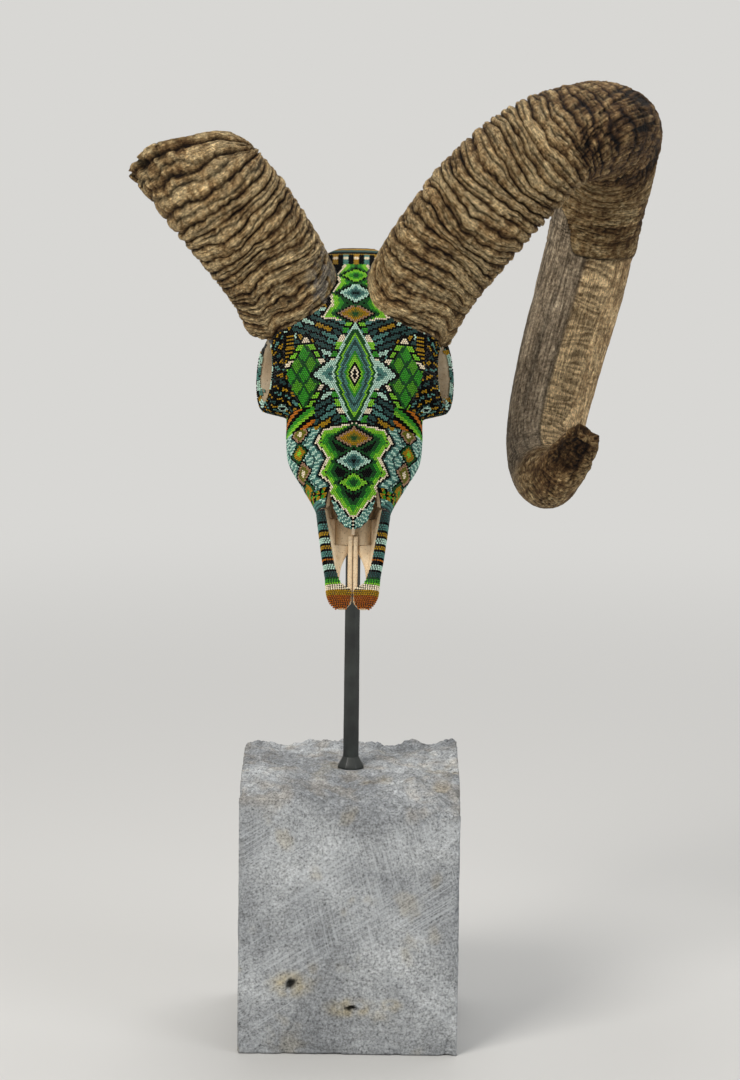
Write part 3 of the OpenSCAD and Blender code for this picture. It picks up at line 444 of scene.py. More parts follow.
def horn_material():
    """Fine cracks run round the ridged part, and along it where the tint's alpha says so."""
    m, t, b = material("horn", 0.66, spec=0.12)
    tint = node(t, "ShaderNodeAttribute", attribute_name="tint")
    along = tint.outputs["Alpha"]

    def grain(scale, detail, rough, stops):
        return ramp(t, speckle(t, coordinate(t, scale, "grain"), 1.0, detail, rough), stops)

    fibres = (5, 0.65, [(0.3, (0.5, 0.47, 0.43)), (0.5, (1.05, 1.02, 0.98)), (0.7, (1.45, 1.42, 1.36))])
    cracks = (4, 0.6, [(0.44, WHITE), (0.485, (0.2, 0.17, 0.15)), (0.52, WHITE)])
    wrinkles = (3, 0.55, [(0.40, WHITE), (0.47, (0.3, 0.26, 0.23)), (0.53, (1.2, 1.18, 1.14))])
    fibre = mixed(t, "MIX", along, grain((0.25, 1.1, 0.25), *fibres), grain((0.6, 0.035, 0.6), *fibres))
    crack = mixed(t, "MIX", along, grain((0.09, 0.6, 0.09), *cracks), grain((0.5, 0.03, 0.5), *cracks))
    wrinkle = mixed(t, "MIX", along, grain((0.15, 1.5, 0.15), *wrinkles), WHITE)
    crack = mixed(t, "MULTIPLY", 0.8, crack, wrinkle)
    at = coordinate(t, 1.0)
    flecks = ramp(t, speckle(t, at, 520, 3), [(0.34, (0.32, 0.3, 0.27)), (0.5, (1.05, 1.04, 1.02)),
                                              (0.66, (1.75, 1.72, 1.65))])
    fibre = mixed(t, "MULTIPLY", 0.6, fibre, flecks)
    blot = ramp(t, speckle(t, at, 70, 6), [(0.3, (0.72, 0.7, 0.68)), (0.7, (1.18, 1.16, 1.14))])
    both = mixed(t, "MULTIPLY", 0.8, mixed(t, "MULTIPLY", 1.0, tint.outputs["Color"], fibre), blot)
    both = mixed(t, "MULTIPLY", 0.75, both, crack)
    t.links.new(both, b.inputs["Base Color"])
    bumped(t, b, mixed(t, "MULTIPLY", 1.0, fibre, crack), 0.8, 0.0011)
    return m


PALETTE = {"black": (8, 8, 8), "tip": (164, 86, 0), "orange": (194, 112, 10), "ochre": (172, 132, 8),
           "olive": (112, 112, 20), "tan": (168, 132, 104), "cream": (246, 230, 202),
           "mint": (190, 224, 206), "teal": (84, 138, 128), "deep": (40, 78, 74), "bright": (136, 206, 46),
           "green": (54, 154, 34), "dark": (6, 78, 24), "leaf": (84, 160, 30)}
COLOURS = list(PALETTE)
BLACK, TIP_C, ORANGE, OCHRE, OLIVE, TAN, CREAM, MINT, TEAL, DEEP, BRIGHT, GREEN, DARK, LEAF = range(14)
SHADES = (0.86, 1.0, 1.14)
stone_m, bone_m, horn_m = stone_material(), bone_material(), horn_material()
inner_m = stained("inner_bone", 0.65, 0.4, 26, 6, [(0.3, (196, 172, 140)), (0.7, (236, 222, 198))],
                  (1.0, 420, 6, 0.65, 0.3, 0.0006))
enamel_m = stained("enamel", 0.35, 0.5, 90, 5,
                   [(0.3, (150, 118, 78)), (0.5, (214, 196, 156)), (0.7, (232, 222, 196))],
                   ((1, 1, 0.2), 500, 4, 0.6, 0.25, 0.0005))
steel_m = stained("black_steel", 0.42, 0.5, 60, 6, [(0.35, (17, 20, 19)), (0.65, (40, 45, 42))],
                  (1.0, 260, 4, 0.6, 0.25, 0.0005))
wax_m = stained("wax", 0.55, 0.4, 160, 4, [(0.35, (8, 7, 6)), (0.7, (24, 20, 15))])
resin_m = stained("resin", 0.5, 0.4, 90, 4, [(0.35, (150, 138, 116)), (0.7, (188, 176, 150))])
bead_m = []
for bead in COLOURS:
    for grade, share in enumerate(SHADES):
        shade = tuple(min(1, c * share) for c in srgb(*PALETTE[bead]))
        gloss = 0.04 if bead == "black" else 0.25
        bead_m.append(material("bead_%s_%d" % (bead, grade), 0.32, shade, gloss)[0])


# Stone
def broken_top(x, y):
    front = np.maximum(0, -y / (BLOCK_D / 2) - 0.25) / 0.75
    fall = (5 + 14 * (x / BLOCK_W + 0.5)) * front**1.6
    r = np.radians
    wave = (np.sin(r(x * 4.1 + y * 1.7 + 20)) * 0.5 + np.sin(r(y * 5.3 - x * 2.9 + 70)) * 0.35
            + np.sin(r(x * 9.7 + 30)) * np.sin(r(y * 8.9 + 110)) * 0.3
            + np.sin(r(x * 13.1 + 200)) * np.sin(r(y * 14.3 + 40)) * 0.35)
    near = smooth(np.hypot(x, y) / 40 - 0.3)
    return BLOCK_H + 2 - fall + 3 * wave * near


def stone_faces():
    """Places across and deep and shares of the height on the block's six faces, and their quads."""
    hw, hd = BLOCK_W / 2, BLOCK_D / 2
    a, b = np.linspace(-1, 1, 120), np.linspace(0, 1, 140)
    s, h = np.meshgrid(a, b, indexing="xy")
    o = 0 * s
    gx, gy = np.meshgrid(a * hw, a * hd, indexing="xy")
    faces = [(s * hw, o - hd, h), (o + hw, s * hd, h), (-s * hw, o + hd, h), (o - hw, -s * hd, h),
             (gx, gy, 0 * gx + 1), (gx, gy, 0 * gx)]
    return together([(np.stack(face, -1).reshape(-1, 3), grid(*face[0].shape, flip=k == 5))
                     for k, face in enumerate(faces)])


def stone_roof(x, y):
    """Height of the broken top, that is flat round the rod's seat."""
    seat = 1 - smooth((np.hypot(x, y) - 11) / 9)
    flat = np.stack([x, y, 0 * x], -1)
    rise = 1.2 * layered(flat / 9, 5, 3) + 1.5 * np.abs(layered(flat / 5, 4, 8)) - 1.1
    roof = broken_top(x, y) + rise * (1 - seat)
    return roof * (1 - seat) + (BLOCK_H - 0.2) * seat


def stone_wear(q, d):
    """Shifts for chipped edges and wavy sides, by distance to the sides, the top and the bottom."""
    x, y = q[:, 0], q[:, 1]
    size = 1.2 + 1.3 * np.maximum(0, layered(q / 9, 4, 21)) * 3
    f = np.exp(-(d / (size[:, None] * 1.3)) ** 2)
    f[:, 3] *= 0.6
    chip = size * 0.55
    away = np.stack([-np.sign(x) * f[:, 0] * f[:, 1:].max(1),
                     -np.sign(y) * f[:, 1] * f[:, [0, 2, 3]].max(1),
                     (0.4 * f[:, 3] - f[:, 2]) * f[:, :2].max(1)], -1) * chip[:, None]
    inner = np.minimum(d[:, 2], d[:, 3]) > 0
    wavy = 0.25 * layered(q / 30, 3, 5) - 0.12 + 0.1 * layered(q / 5, 3, 6)
    sunk = 0.35 - np.minimum(wavy, 0.3)
    for k in (0, 1):
        away[:, k] -= np.sign(q[:, k]) * ((d[:, k] < 1e-6) & inner) * sunk
    return away


def cavities(q, front):
    """Depths of the cavities in the front, the tint of the yellow stains round them, and painted shade
    inside the deeper ones.
    """
    x, z = q[:, 0], q[:, 2]
    depth, tint = np.zeros(len(q)), np.ones((len(q), 3))
    ragged = 1 + 0.5 * layered(q / 3.2, 3, 31)
    blotch = np.clip(0.55 + 0.7 * layered(q / 6, 3, 41), 0, 1)
    for cx, cz, rx, rz, deep in CAVITIES:
        e = np.hypot((x - cx) / rx, (z - cz) / rz) / ragged
        depth += np.where(front, deep * smooth((1.25 - e) / 0.6), 0)
        wide = np.hypot((x - cx) / (rx * 1.25), (z - cz) / (rz * 1.2))
        stain = np.where(front, smooth((4.2 - wide) / 2.8), 0) * blotch
        tint = tint * (1 - stain[:, None] * np.array([-0.1, 0.06, 0.34]))
        # Painted shade: the deeper cavities are darkened inside, where shade falls
        dark = np.where(front, smooth((1.15 - e) / 0.5), 0) * (deep > 1)
        tint = tint * (1 - 0.88 * dark[:, None])
    return depth, tint


def stone():
    points, quads = stone_faces()
    x, y, h = points.T
    roof = stone_roof(x, y)
    z = h * roof
    q = np.stack([x, y, z], -1)
    d = np.stack([BLOCK_W / 2 - np.abs(x), BLOCK_D / 2 - np.abs(y), roof - z, z], -1)
    front = (d[:, 1] < 1e-6) & (y < 0)
    depth, tint = cavities(q, front)
    away = stone_wear(q, d)
    away[:, 1] += depth
    # A darker slab low on the front, rust, stained edges and dust on the top
    brink = np.where(x > -8, 80 - 0.69 * (x + 8), 80 + 1.6 * (x + 8)) + 3 * layered(q / 14, 3, 81)
    slab = np.where(front, smooth((brink - z) / 2.5), 0)[:, None]
    tint = tint * (1 - 0.09 * slab)
    rust = smooth((layered(q / 22, 4, 51) - 0.45) / 0.5)[:, None] * np.array([0.0, 0.06, 0.16])
    edge = np.exp(-(d[:, 2] / 9) ** 2) * smooth(layered(q / 11, 3, 61) + 0.2)
    edge = edge[:, None] * np.array([-0.02, 0.05, 0.13])
    dust = np.where(h >= 1, 1.0, 0.0) * (0.3 * layered(q / 4, 4, 71) + 0.04)
    tint = np.clip(tint * (1 - rust - edge) * (1 + dust[:, None]), 0.02, 1.3)
    ob = make("stone", q + away, quads, [stone_m], "stone_block", sharp=55)
    sawn = np.where(h < 1, smooth((roof - z - 3) / 6) * (1 - 0.8 * slab[:, 0]), 0)[:, None]
    attribute(ob, "tint", "FLOAT_COLOR", np.concatenate([tint, sawn], 1))
    merge(ob)


# Rod and collar: eight flats with eased corners
def eight_flats(levels, ease=3, per=4):
    """Rings of eight flats at heights and widths, with each corner eased over a few degrees."""
    corners = np.arange(8)[:, None] * 45 + 22.5
    turn = (corners + np.linspace(-ease, ease, per)).ravel()
    off = np.minimum(turn % 45, 45 - turn % 45)
    a = np.radians(turn)
    rings = []
    for z, flats in levels:
        r = flats / 2 / np.cos(np.radians(off))
        r = np.minimum(r, flats / 2 / math.cos(math.radians(22.5)) * 0.985)
        rings.append(np.stack([r * np.cos(a), r * np.sin(a), 0 * r + z], -1))
    return np.array(rings)


def rod():
    neck = TIP[2] + (SHELF + TIP[1] * math.sin(TILT)) / math.cos(TILT)
    bar = [(ROD_FOOT + (neck - ROD_FOOT) * f, ROD_WIDE + (ROD_NARROW - ROD_WIDE) * f)
           for f in np.linspace(0, 1, 40)]
    foot = [(BLOCK_H + z, flats) for z, flats in COLLAR]
    for name, replaced, levels, dent, size, seed in (("rod", "support_rod", bar, 0.12, 9, 4),
                                                     ("collar", "foot_collar", foot, 0.15, 6, 6)):
        v, q = capped(eight_flats(levels))
        v = v + dent * np.stack([noise(v / size, seed), noise(v / size, seed + 1), 0 * v[:, 0]], -1)
        make(name, v, q, [steel_m], replaced, sharp=35)


# Horns
def course_at(run, u):
    last = len(run) - 1
    i = np.clip(np.floor(u).astype(int), 0, last - 1)
    o, r = np.maximum(i - 1, 0), np.minimum(i + 2, last)
    f = (u - i)[..., None]
    return hermite(run[i], run[i + 1], (run[i + 1] - run[o]) / 2, (run[r] - run[i]) / 2, f)


def course_frame(run, u):
    """Directions along a horn's course, and across and deep in its section."""
    t = unit(course_at(run, u + 0.02) - course_at(run, u - 0.02))
    b = unit(np.array([1.0, 0, 0]) - t[..., :1] * t)
    return t, b, np.cross(t, b)


def horn_point(run, u, turn, share, grow):
    u, turn = np.broadcast_arrays(u, turn)
    _, b, n = course_frame(run, u)
    full = share * (1 + curve(LOBE, u) * np.cos(np.radians(3 * turn + np.where(u < 8, 40, -90))))
    a = np.radians(turn)
    return (course_at(run, u) + b * ((curve(HORN_ACROSS, u) * full + grow) * np.cos(a))[..., None]
            + n * ((curve(HORN_DEEP, u) * full + grow) * np.sin(a))[..., None])


def horn_exit(run, turn, gap):
    """Places on the course where a horn comes out of the bone."""
    us = np.arange(0.35, 2.2, 0.01)
    inside = in_bone(horn_point(run, us[:, None], turn[None, :], 1.0, 0.0), gap)
    last = np.where(inside.any(0), len(us) - 1 - np.argmax(inside[::-1], axis=0), 0)
    return us[last] + 0.01


def ridge_places(start, end):
    """Valleys and crests of the growth ridges in turn, as in the solid."""
    places, u, k = [start], start, 0
    while True:
        step = 0.5 * RIDGE_STEP * float(curve(RIDGE_GAPS, np.array(u)))
        if u + 1.5 * step > end:
            return np.array(places + [end])
        u += step * (1 + 0.3 * math.sin(math.radians(137 * k)))
        k += 1
        places.append(u)


def horn_rows(run, end, n_u, n_t, slant, ragged):
    """Rows along a horn: turns, places on the course, lengths, places as slanted and torn, and the pace."""
    turn = np.arange(n_t) * 360 / n_t
    a = np.radians(turn)[None, :]
    base = horn_exit(run, turn, 0.1)
    middle = base.mean()
    fine = np.linspace(middle, end, 3000)
    pace = np.linalg.norm(np.gradient(course_at(run, fine), axis=0), axis=1)
    dense = pace * np.interp(fine, [0, 4.6, 6, 14], [1.35, 1.35, 0.9, 0.9])
    share = np.cumsum(dense) - dense[0]
    u = np.interp(np.linspace(0, share[-1], n_u), share, fine)[:, None]
    s = np.interp(u, fine, np.cumsum(pace) - pace[0]) + 0 * a
    near = smooth((u - end + 0.9) / 0.9)
    torn = slant * np.cos(a) * near + near**4 * ragged * (np.sin(3 * a + 0.87) + 0.6 * np.sin(5 * a))
    r = np.radians
    shift = smooth((u - middle) / 0.5) * smooth(end - u) * (
        0.03 * np.sin(2 * a + r(200 * u)) + 0.02 * np.sin(3 * a - r(330 * u - 60))
        - curve(DIPS, u) * np.cos(a - r(curve(DIP_TURNS, u))))
    full_u = u + (base - middle)[None, :] * np.exp(-(u - middle) / 0.8) + torn + shift
    return turn, u, s, full_u, np.interp(u, fine, pace / (fine[1] - fine[0]))


def growth(run, end, seed, turn, u, s, full_u, pace):
    """Relief and tones of a horn, that follow its growth ridges, with painted highlights on the crests and
    painted shade in the grooves.
    """
    a = np.radians(turn)[None, :]
    whole = end > LAYER_END
    ring = np.stack([np.cos(a) + 0 * s, np.sin(a) + 0 * s, s / 34], -1)
    rad = curve(HORN_ACROSS, full_u)
    skin = np.stack([np.cos(a) * rad, np.sin(a) * rad, s], -1)

    def around(scale, k, shift=0.0):
        return noise(ring * np.array(scale) + shift, seed + k)

    def rough(size, k, layers=3):
        return layered(skin / np.array(size), layers, seed + k)

    def rise(at, soft):
        return smooth((u - at) / soft)

    def fall(at, soft):
        return smooth((at - u) / soft)

    # Main ridges, each split here and there by a second groove
    high = curve(RIDGE_HEIGHTS, u) + 0 * a
    places = ridge_places(horn_exit(run, np.arange(16) * 22.5, 1.2).mean(), end)
    wander = 0.05 * around(1.7, 0, 3.1) + 0.035 * around([4, 4, 3], 1) + 0.016 * around([10, 10, 8], 2)
    t = u + wander * np.interp(u, [0, 5, 6, 8.3, 9], [1, 1.2, 1.6, 0.7, 2])
    low = np.concatenate([[places[0] - 0.3, places[0] - 0.15], places[0::2], [end + 0.3]])
    j = np.clip(np.searchsorted(low, t) - 1, 0, len(low) - 2)
    gap = (low[j + 1] - low[j]) * pace
    f = (t - low[j]) / (low[j + 1] - low[j])
    lump, pits, fibre = rough(15, 12), rough(2.4, 15), rough([1.3, 1.3, 7.0], 9)
    cut = 0.5 + 0.22 * around([2, 2, 1.5], 20) + 0.12 * np.sin(j * 2.4)
    gate = smooth((around([1.6, 1.6, 1.2], 21, j[..., None] * 3.7) + 0.5) / 0.4)
    bulge = np.clip(4 * f * (1 - f), 0, 1) ** 0.5
    deep = np.clip(0.8 + 0.8 * around([2.5, 2.5, 2], 6), 0.2, 1.4)
    groove = np.exp(-(np.minimum(f, 1 - f) * gap / 0.9) ** 2) * deep
    groove2 = np.exp(-((f - cut) * gap / 0.75) ** 2) * gate
    relief = RIDGE_H * high * (bulge - 0.75 - 0.3 * groove - 0.42 * groove2)

    # Fine rings at the base, past the bend and near the tip
    bent = rise(6.2, 0.5) * fall(8.6, 0.3)
    thread = fall(1.75, 0.6) + 0.5 * rise(1.3, 0.4) * fall(5.4, 0.6) + 1.1 * bent + 1.2 * rise(11.2, 0.7)
    turns = np.sin(2 * math.pi * (s / 2.9 + 0.9 * around([2, 2, 3], 24) + 0.35 * around([7, 7, 9], 25)))
    ringlet = thread * np.clip(-turns, 0, 1) ** 2 * np.clip(0.6 + around([3, 3, 4], 26), 0, 1.3)
    relief = relief - 0.55 * ringlet

    # Fibrous, cracked stretch on the outside of the bend
    bark = (smooth((u - 4.15 + 0.3 * around(3, 32)) / 0.4) * smooth((6.9 - u + 0.4 * np.cos(a)) / 0.6)
            * smooth(1.0 + 0.8 * around([1.2, 1.2, 1.0], 31) + 0.3 * np.cos(a - 0.3)))
    bend = skin + 5 * np.stack([noise(skin / 16, seed + 34), noise(skin / 16, seed + 35), 0 * s], -1)
    split = np.clip(layered(bend / np.array([2.2, 2.2, 17]), 3, seed + 33) * 2.2 - 0.2, 0, 1)
    relief = relief * (1 - 0.75 * bark) - 1.5 * bark * split + 0.4 * bark * fibre

    # Outer layer that ends in a step, with a tongue on the inside
    past = u - LAYER_END + 0.7 * smooth((np.cos(a - 3.05) - 0.45) / 0.5)
    over = smooth((past + 0.03 * around(5, 41)) / 0.03) * whole
    relief = relief - 1.1 * over + 0.35 * np.exp(-(past / 0.03) ** 2) * whole
    # The step's edge, which the tones darken as painted shade below it
    step = np.exp(-((past - 0.03) / 0.025) ** 2) * whole

    # The last stretch: a rippled trough between a grey flank and a pale edge
    stretch = fall(12.6, 0.7)

    def band(mid, half, soft):
        off = np.abs((np.degrees(a) - mid + 180) % 360 - 180)
        return smooth((half + soft - off) / (2 * soft)) * over * stretch

    face, flank, bright = band(75, 20, 4), band(150, 54, 4), band(36, 19, 4)
    waves = s / 6.2 + 1.1 * np.cos(a - 1.3) + 1.1 * around([1, 1, 3], 43) + 0.3 * around([5, 5, 9], 45)
    ripple = np.clip(np.sin(2 * math.pi * waves), -0.2, 1) * np.clip(around([1, 1, 1.6], 44) + 0.6, 0, 1)
    relief = relief - 0.9 * face + 1.2 * face * ripple + 0.5 * (band(95, 3, 3) + band(55, 3, 3))

    # Rough, torn tip of the whole horn, and a porous knob at the corner of the short one's end
    tip = smooth((u - end + 1.1) / 0.9) * whole
    torn = (smooth((u - 13.3 + 0.12 * around(5, 52)) / 0.2) * smooth((np.cos(a + 2.2) - 0.25) / 0.4)
            * whole)
    relief = relief + tip * (1.0 + 1.1 * rough(5, 51, 4)) - torn * (2.6 + 1.4 * rough(4, 53))
    knob = smooth((u - end + 0.32) / 0.2) * smooth((np.cos(a + 0.3) - 0.72) / 0.2) * (not whole)
    holes = np.clip(3 * rough(5, 54), 0, 1)
    relief = relief + knob * (2.2 - 3.4 * holes)
    relief = relief + 0.12 * fibre + 0.6 * lump * (0.4 + 0.6 * high) + 0.3 * pits * (0.35 + high + bark)

    # Tones: lightness, with painted highlights on the ridge crests, and painted shade as dark lines in the
    # grooves and cracks
    light = (0.66 + 0.72 * (bulge - 0.66) * np.clip(1.7 * high, 0, 1) + 0.1 * fibre + 0.28 * pits
             + 0.2 * lump)
    light = light - 0.4 * bark - 0.12 * tip - 0.3 * torn - 0.04 * bent - 0.04 * rise(11.6, 0.8)
    # Painted shade: the grooves, fine rings, bark cracks, step, ripple troughs and the knob's holes are
    # darkened; the torn part is darker too
    dark = (groove * np.clip(1.25 * high, 0, 1) * 0.92 + groove2 * np.clip(high, 0, 1) * 0.85
            + 0.85 * ringlet + bark * split * 0.95 + 0.8 * step + 0.5 * band(97, 2, 3) + 0.35 * torn
            + 0.45 * face * np.clip(0.25 - ripple, 0, 0.3) / 0.3 + 0.85 * knob * holes)
    line = np.clip(layered(np.stack([a * 9 + 0 * s, 0 * s, s / 160], -1), 3, seed + 61), -1, 1)
    # The ripple crests in the trough get a painted highlight, and the trough is paler overall
    light = light + 0.16 * bright + 0.12 * over * line + face * (0.5 * ripple + 0.34)
    shade = (1 - np.clip(dark, 0, 0.92)) * (1 - 0.6 * flank * np.clip(2 * line - 0.3, 0, 1))
    axial = np.clip(over * stretch + bark, 0, 1)
    return relief, light, shade, flank, over * stretch, axial, skin


# Horn colours from dark to light: on the ridges, past the step, and on the grey flank
TONES, PALE, GREY = (np.array([srgb(*c) for c in row]) for row in (
    ((34, 22, 13), (76, 55, 35), (122, 97, 66), (174, 149, 108), (214, 194, 152)),
    ((68, 54, 39), (112, 92, 68), (154, 129, 96), (192, 166, 127), (226, 202, 160)),
    ((76, 67, 55), (114, 103, 87), (142, 129, 111), (164, 151, 131), (184, 171, 150))))


def toned(light, table):
    at = np.clip(light, 0, 1) * (len(table) - 1)
    i = np.minimum(at.astype(int), len(table) - 2)
    f = (at - i)[..., None]
    return table[i] * (1 - f) + table[i + 1] * f


def horn(name, run, end, seed, n_u, n_t, slant, ragged, left, node_name):
    rows = horn_rows(run, end, n_u, n_t, slant, ragged)
    turn, u = rows[0], rows[3]
    grow, light, shade, flank, over, axial, skin = growth(run, end, seed, *rows)
    p = horn_point(run, u, turn[None, :], 1.0, grow)
    over, flank = over[..., None] * np.ones(3), flank[..., None]
    colour = toned(light, TONES) * (1 - over) + toned(light, PALE) * over
    colour = (colour * (1 - flank) + toned(light, GREY) * flank) * shade[..., None]
    if left:
        # Grey glue along the inner edge of the base
        glue = (smooth((0.55 - (u - u[:1])) / 0.3) * smooth((-np.cos(np.radians(turn)) - 0.3) / 0.4)
                * smooth((layered(skin / 5, 3, seed + 70) + 0.1) / 0.3))[..., None]
        colour = colour * (1 - 0.7 * glue) + 0.7 * glue * srgb(150, 150, 148)
    # Lip at the base, darkened as painted shade where it meets the bone, and a rough closing face at the
    # broken end
    lip = horn_point(run, u[:1] - 0.01, turn[None, :], 1.0, grow[:1] - 5.0)
    points, tints = [lip, p], [colour[:1] * 0.25, colour]
    rims, last = 16, u[-1:]
    ahead = course_frame(run, last)[0]
    for k in range(1, rims + 1):
        f = k / rims
        at = last * (1 - f) + last.mean() * f
        q = horn_point(run, at, turn[None, :], 1 - 0.97 * f, grow[-1:] * (1 - f))
        porous = layered(q / 2.6, 3, seed + 30)
        points.append(q + ahead * (1.6 * porous - 3.2 * np.sin(math.pi * f))[..., None])
        tints.append(toned(0.42 + 0.4 * porous, TONES) * (0.55 + 0.3 * f))
    v = world(mirrored(np.concatenate(points), left))
    axial = np.concatenate([axial[:1], axial] + [axial[-1:] * 0] * rims)[..., None]
    tint = np.concatenate([np.clip(np.concatenate(tints), 0.004, 1), axial], -1)
    grain = np.concatenate([skin[:1], skin] + [skin[-1:]] * rims)[..., [0, 2, 1]]
    # The whole horn's mesh is made in two lengths that meet at the step
    cuts = [0, len(v) - 1]
    if end > LAYER_END:
        cuts.insert(1, int(np.searchsorted(u[:, 0], LAYER_CUT)) + 1)
    for k, (low, high) in enumerate(zip(cuts[:-1], cuts[1:])):
        part = slice(low, high + 1)
        quads = grid(high + 1 - low, v.shape[1], wrap=True)
        ob = make("%s_%d" % (name, k), v[part], quads, [horn_m], node_name)
        attribute(ob, "tint", "FLOAT_COLOR", tint[part].reshape(-1, 4))
        attribute(ob, "grain", "FLOAT_VECTOR", grain[part])


def horns():
    few = 1
    horn("horn_right", RIGHT, RIGHT_END, 101, 640 // few, 216 // few, 0.0, 0.04, False, "horn_sheath_right")
    horn("horn_left", LEFT, LEFT_END, 202, 200 // few, 240 // few, 0.5, 0.06, True, "horn_sheath_left")


# Bones
def tinted(ob, base=1.0, dark=1.0):
    """Uneven stains on bone, times a base and a factor per point; the palate's and muzzle's bases are
    painted light, and the socket's factor is painted shade.
    """
    co = np.empty(len(ob.data.vertices) * 3, np.float32)
    ob.data.vertices.foreach_get("co", co)
    p = co.reshape(-1, 3) * 1000
    t = base * (1 + 0.10 * layered(p / 14, 4, 77)) * dark
    warm = noise(p / 20, 5)
    c = np.stack([t, t * (1 - 0.03 * warm), t * (1 - 0.08 * warm), np.ones_like(t)], -1)
    attribute(ob, "tint", "FLOAT_COLOR", np.clip(c, 0, 1.4))


def bone(name, v, quads, node_name, base=1.0, sharp=50):
    tinted(make(name, world(v), quads, [bone_m], node_name, sharp=sharp), base)


def bone_patch(name, node_name, low, high, count, start, stop, rows, left=False, rough=0.25):
    """A plate of bone between two angles, from one station to another."""
    angles = np.linspace(low + 0.2, high - 0.2, count)
    start = start(angles) if callable(start) else np.full(count, float(start))
    f = np.linspace(0, 1, rows)[:, None]
    w = start + 0.15 + (stop - start - 0.3) * f
    phi = np.broadcast_to(angles, w.shape)
    n, p = skull_normal(phi, w), skull(phi, w)
    edge = np.minimum(np.minimum(f, 1 - f) * (stop - start), 3)
    lift = rough * layered(p / 9, 4, 13) - 0.35 * np.exp(-(edge / 0.6) ** 2) - 0.15
    v, q = plate(mirrored(p + n * lift[..., None], left), mirrored(p - n * BONE, left))
    bone(name, v, q, node_name)


def nasal_front(a):
    return NASAL + 26 * (1 - np.sqrt(np.maximum(0, 1 - (a / NASAL_EDGE) ** 2)))


def cheek_front(a):
    return NOTCH + 12 * np.maximum(0, 1 - (a - NASAL_EDGE) / 17)


def arm(turn, w):
    a, b, c, d = curve(ARM_IN, w), curve(ARM_OUT, w), curve(ARM_BOTTOM, w), curve(ARM_TOP, w)
    s, k = np.sin(np.radians(turn)), np.cos(np.radians(turn))
    x = (a + b) / 2 + (b - a) / 2 * np.sign(s) * np.abs(s) ** 0.8
    y = -((c + d) / 2 + (d - c) / 2 * np.sign(k) * np.abs(k) ** 0.8)
    return np.stack(np.broadcast_arrays(x, y, np.asarray(w, float)), -1)


def arm_normal(turn, w):
    along = arm(turn, w + 0.5) - arm(turn, np.maximum(w - 0.5, 0))
    return unit(np.cross(arm(turn + 2, w) - arm(turn - 2, w), along))


# Eye sockets
ORB_TURN = math.radians(15)
AXIS = np.array([math.cos(ORB_TURN), -math.sin(ORB_TURN), 0])
RIM_R, ORB_R, DEEP_R, RIM_END = 4.0, 23.5, 26.0, 26.0
ORB_REACH, ORB_DROP = 69.5, 43
ORB_MID = np.array([ORB_REACH - ORB_R * math.sin(ORB_TURN) - RIM_R, -(BROW_H - ORB_DROP), ORBIT])
STEPS = 160
TURNS = np.arange(STEPS) * 360 / STEPS


def ray(turn, f):
    """Angle and station at a share of the way from the socket's middle to the bone's border."""
    a = np.radians(turn)
    dp, dw = np.cos(a), -np.sin(a)
    high = np.where(dp > 0, SOCKET_EDGE - 0.2 - 90, 90 - BROW_EDGE - 0.2)
    wide = np.where(dw > 0, SHELF - 0.15 - ORBIT, ORBIT - BROW - 0.15)
    reach = np.minimum(high / np.maximum(np.abs(dp), 1e-3), wide / np.maximum(np.abs(dw), 1e-3))
    return 90 + f * reach * dp, ORBIT + f * reach * dw


def axis_gap(p):
    q = p - ORB_MID
    return np.linalg.norm(q - (q @ AXIS)[..., None] * AXIS, axis=-1)


def ray_find(turn, gap):
    """Share of the way at which the bone is a distance from the socket's axis."""
    low, high = np.zeros_like(turn), np.ones_like(turn)
    for _ in range(16):
        half = (low + high) / 2
        short = axis_gap(skull(*ray(turn, half))) < gap
        low, high = np.where(short, half, low), np.where(short, high, half)
    return (low + high) / 2


def orbit_point(turn, f, t):
    phi, w = ray(turn, f)
    p = skull(phi, w)
    gap = axis_gap(p)
    share = 1 - smooth((gap - ORB_R - 2) / 4)
    inner = ORB_R - RIM_R
    g = np.minimum(gap, ORB_R + RIM_R)
    hollow = -DEEP_R * np.sqrt(np.maximum(0, 1 - (g / inner) ** 2))
    profile = np.where(g < inner, hollow, 3 * (1 - ((g - ORB_R) / RIM_R) ** 2))
    lift = share * (profile - (p - ORB_MID) @ AXIS)
    way = unit(share[..., None] * AXIS + (1 - share)[..., None] * skull_normal(phi, w))
    return p + lift[..., None] * AXIS + np.asarray(t)[..., None] * way


def orbit_bone(left):
    side = side_of(left)
    flat, sunk = np.zeros(STEPS), np.full(STEPS, -BONE)
    gaps = np.concatenate([np.linspace(0.6, 18.5, 14), np.linspace(19, RIM_END, 15)])
    f0 = ray_find(TURNS, RIM_END)
    top = [orbit_point(TURNS, ray_find(TURNS, g), flat) for g in gaps]
    top += [orbit_point(TURNS, f0 + (1 - f0) * k, flat) for k in np.linspace(0, 1, 12)[1:]]
    top = np.array(top)
    top = top + 0.2 * layered(top / 7, 3, 23)[..., None] * AXIS
    ways = [np.ones(STEPS), f0] + [ray_find(TURNS, g) for g in (22, 18, 10, 2)]
    under = np.array([orbit_point(TURNS, f, sunk) for f in ways])
    v, q = capped(np.concatenate([top, under]))
    ob = make("socket_" + side, world(mirrored(v, left)), q, [bone_m], "orbit_bone_" + side)
    # Painted shade: the socket's bone darkens towards its middle, and its inner cap is darkest
    dark = np.ones(len(v) // STEPS)
    dark[0] = 0.35
    dark[1:len(gaps) + 1] = 0.35 + 0.65 * smooth((gaps - 8) / 12)
    tinted(ob, 0.74, np.repeat(dark, STEPS))


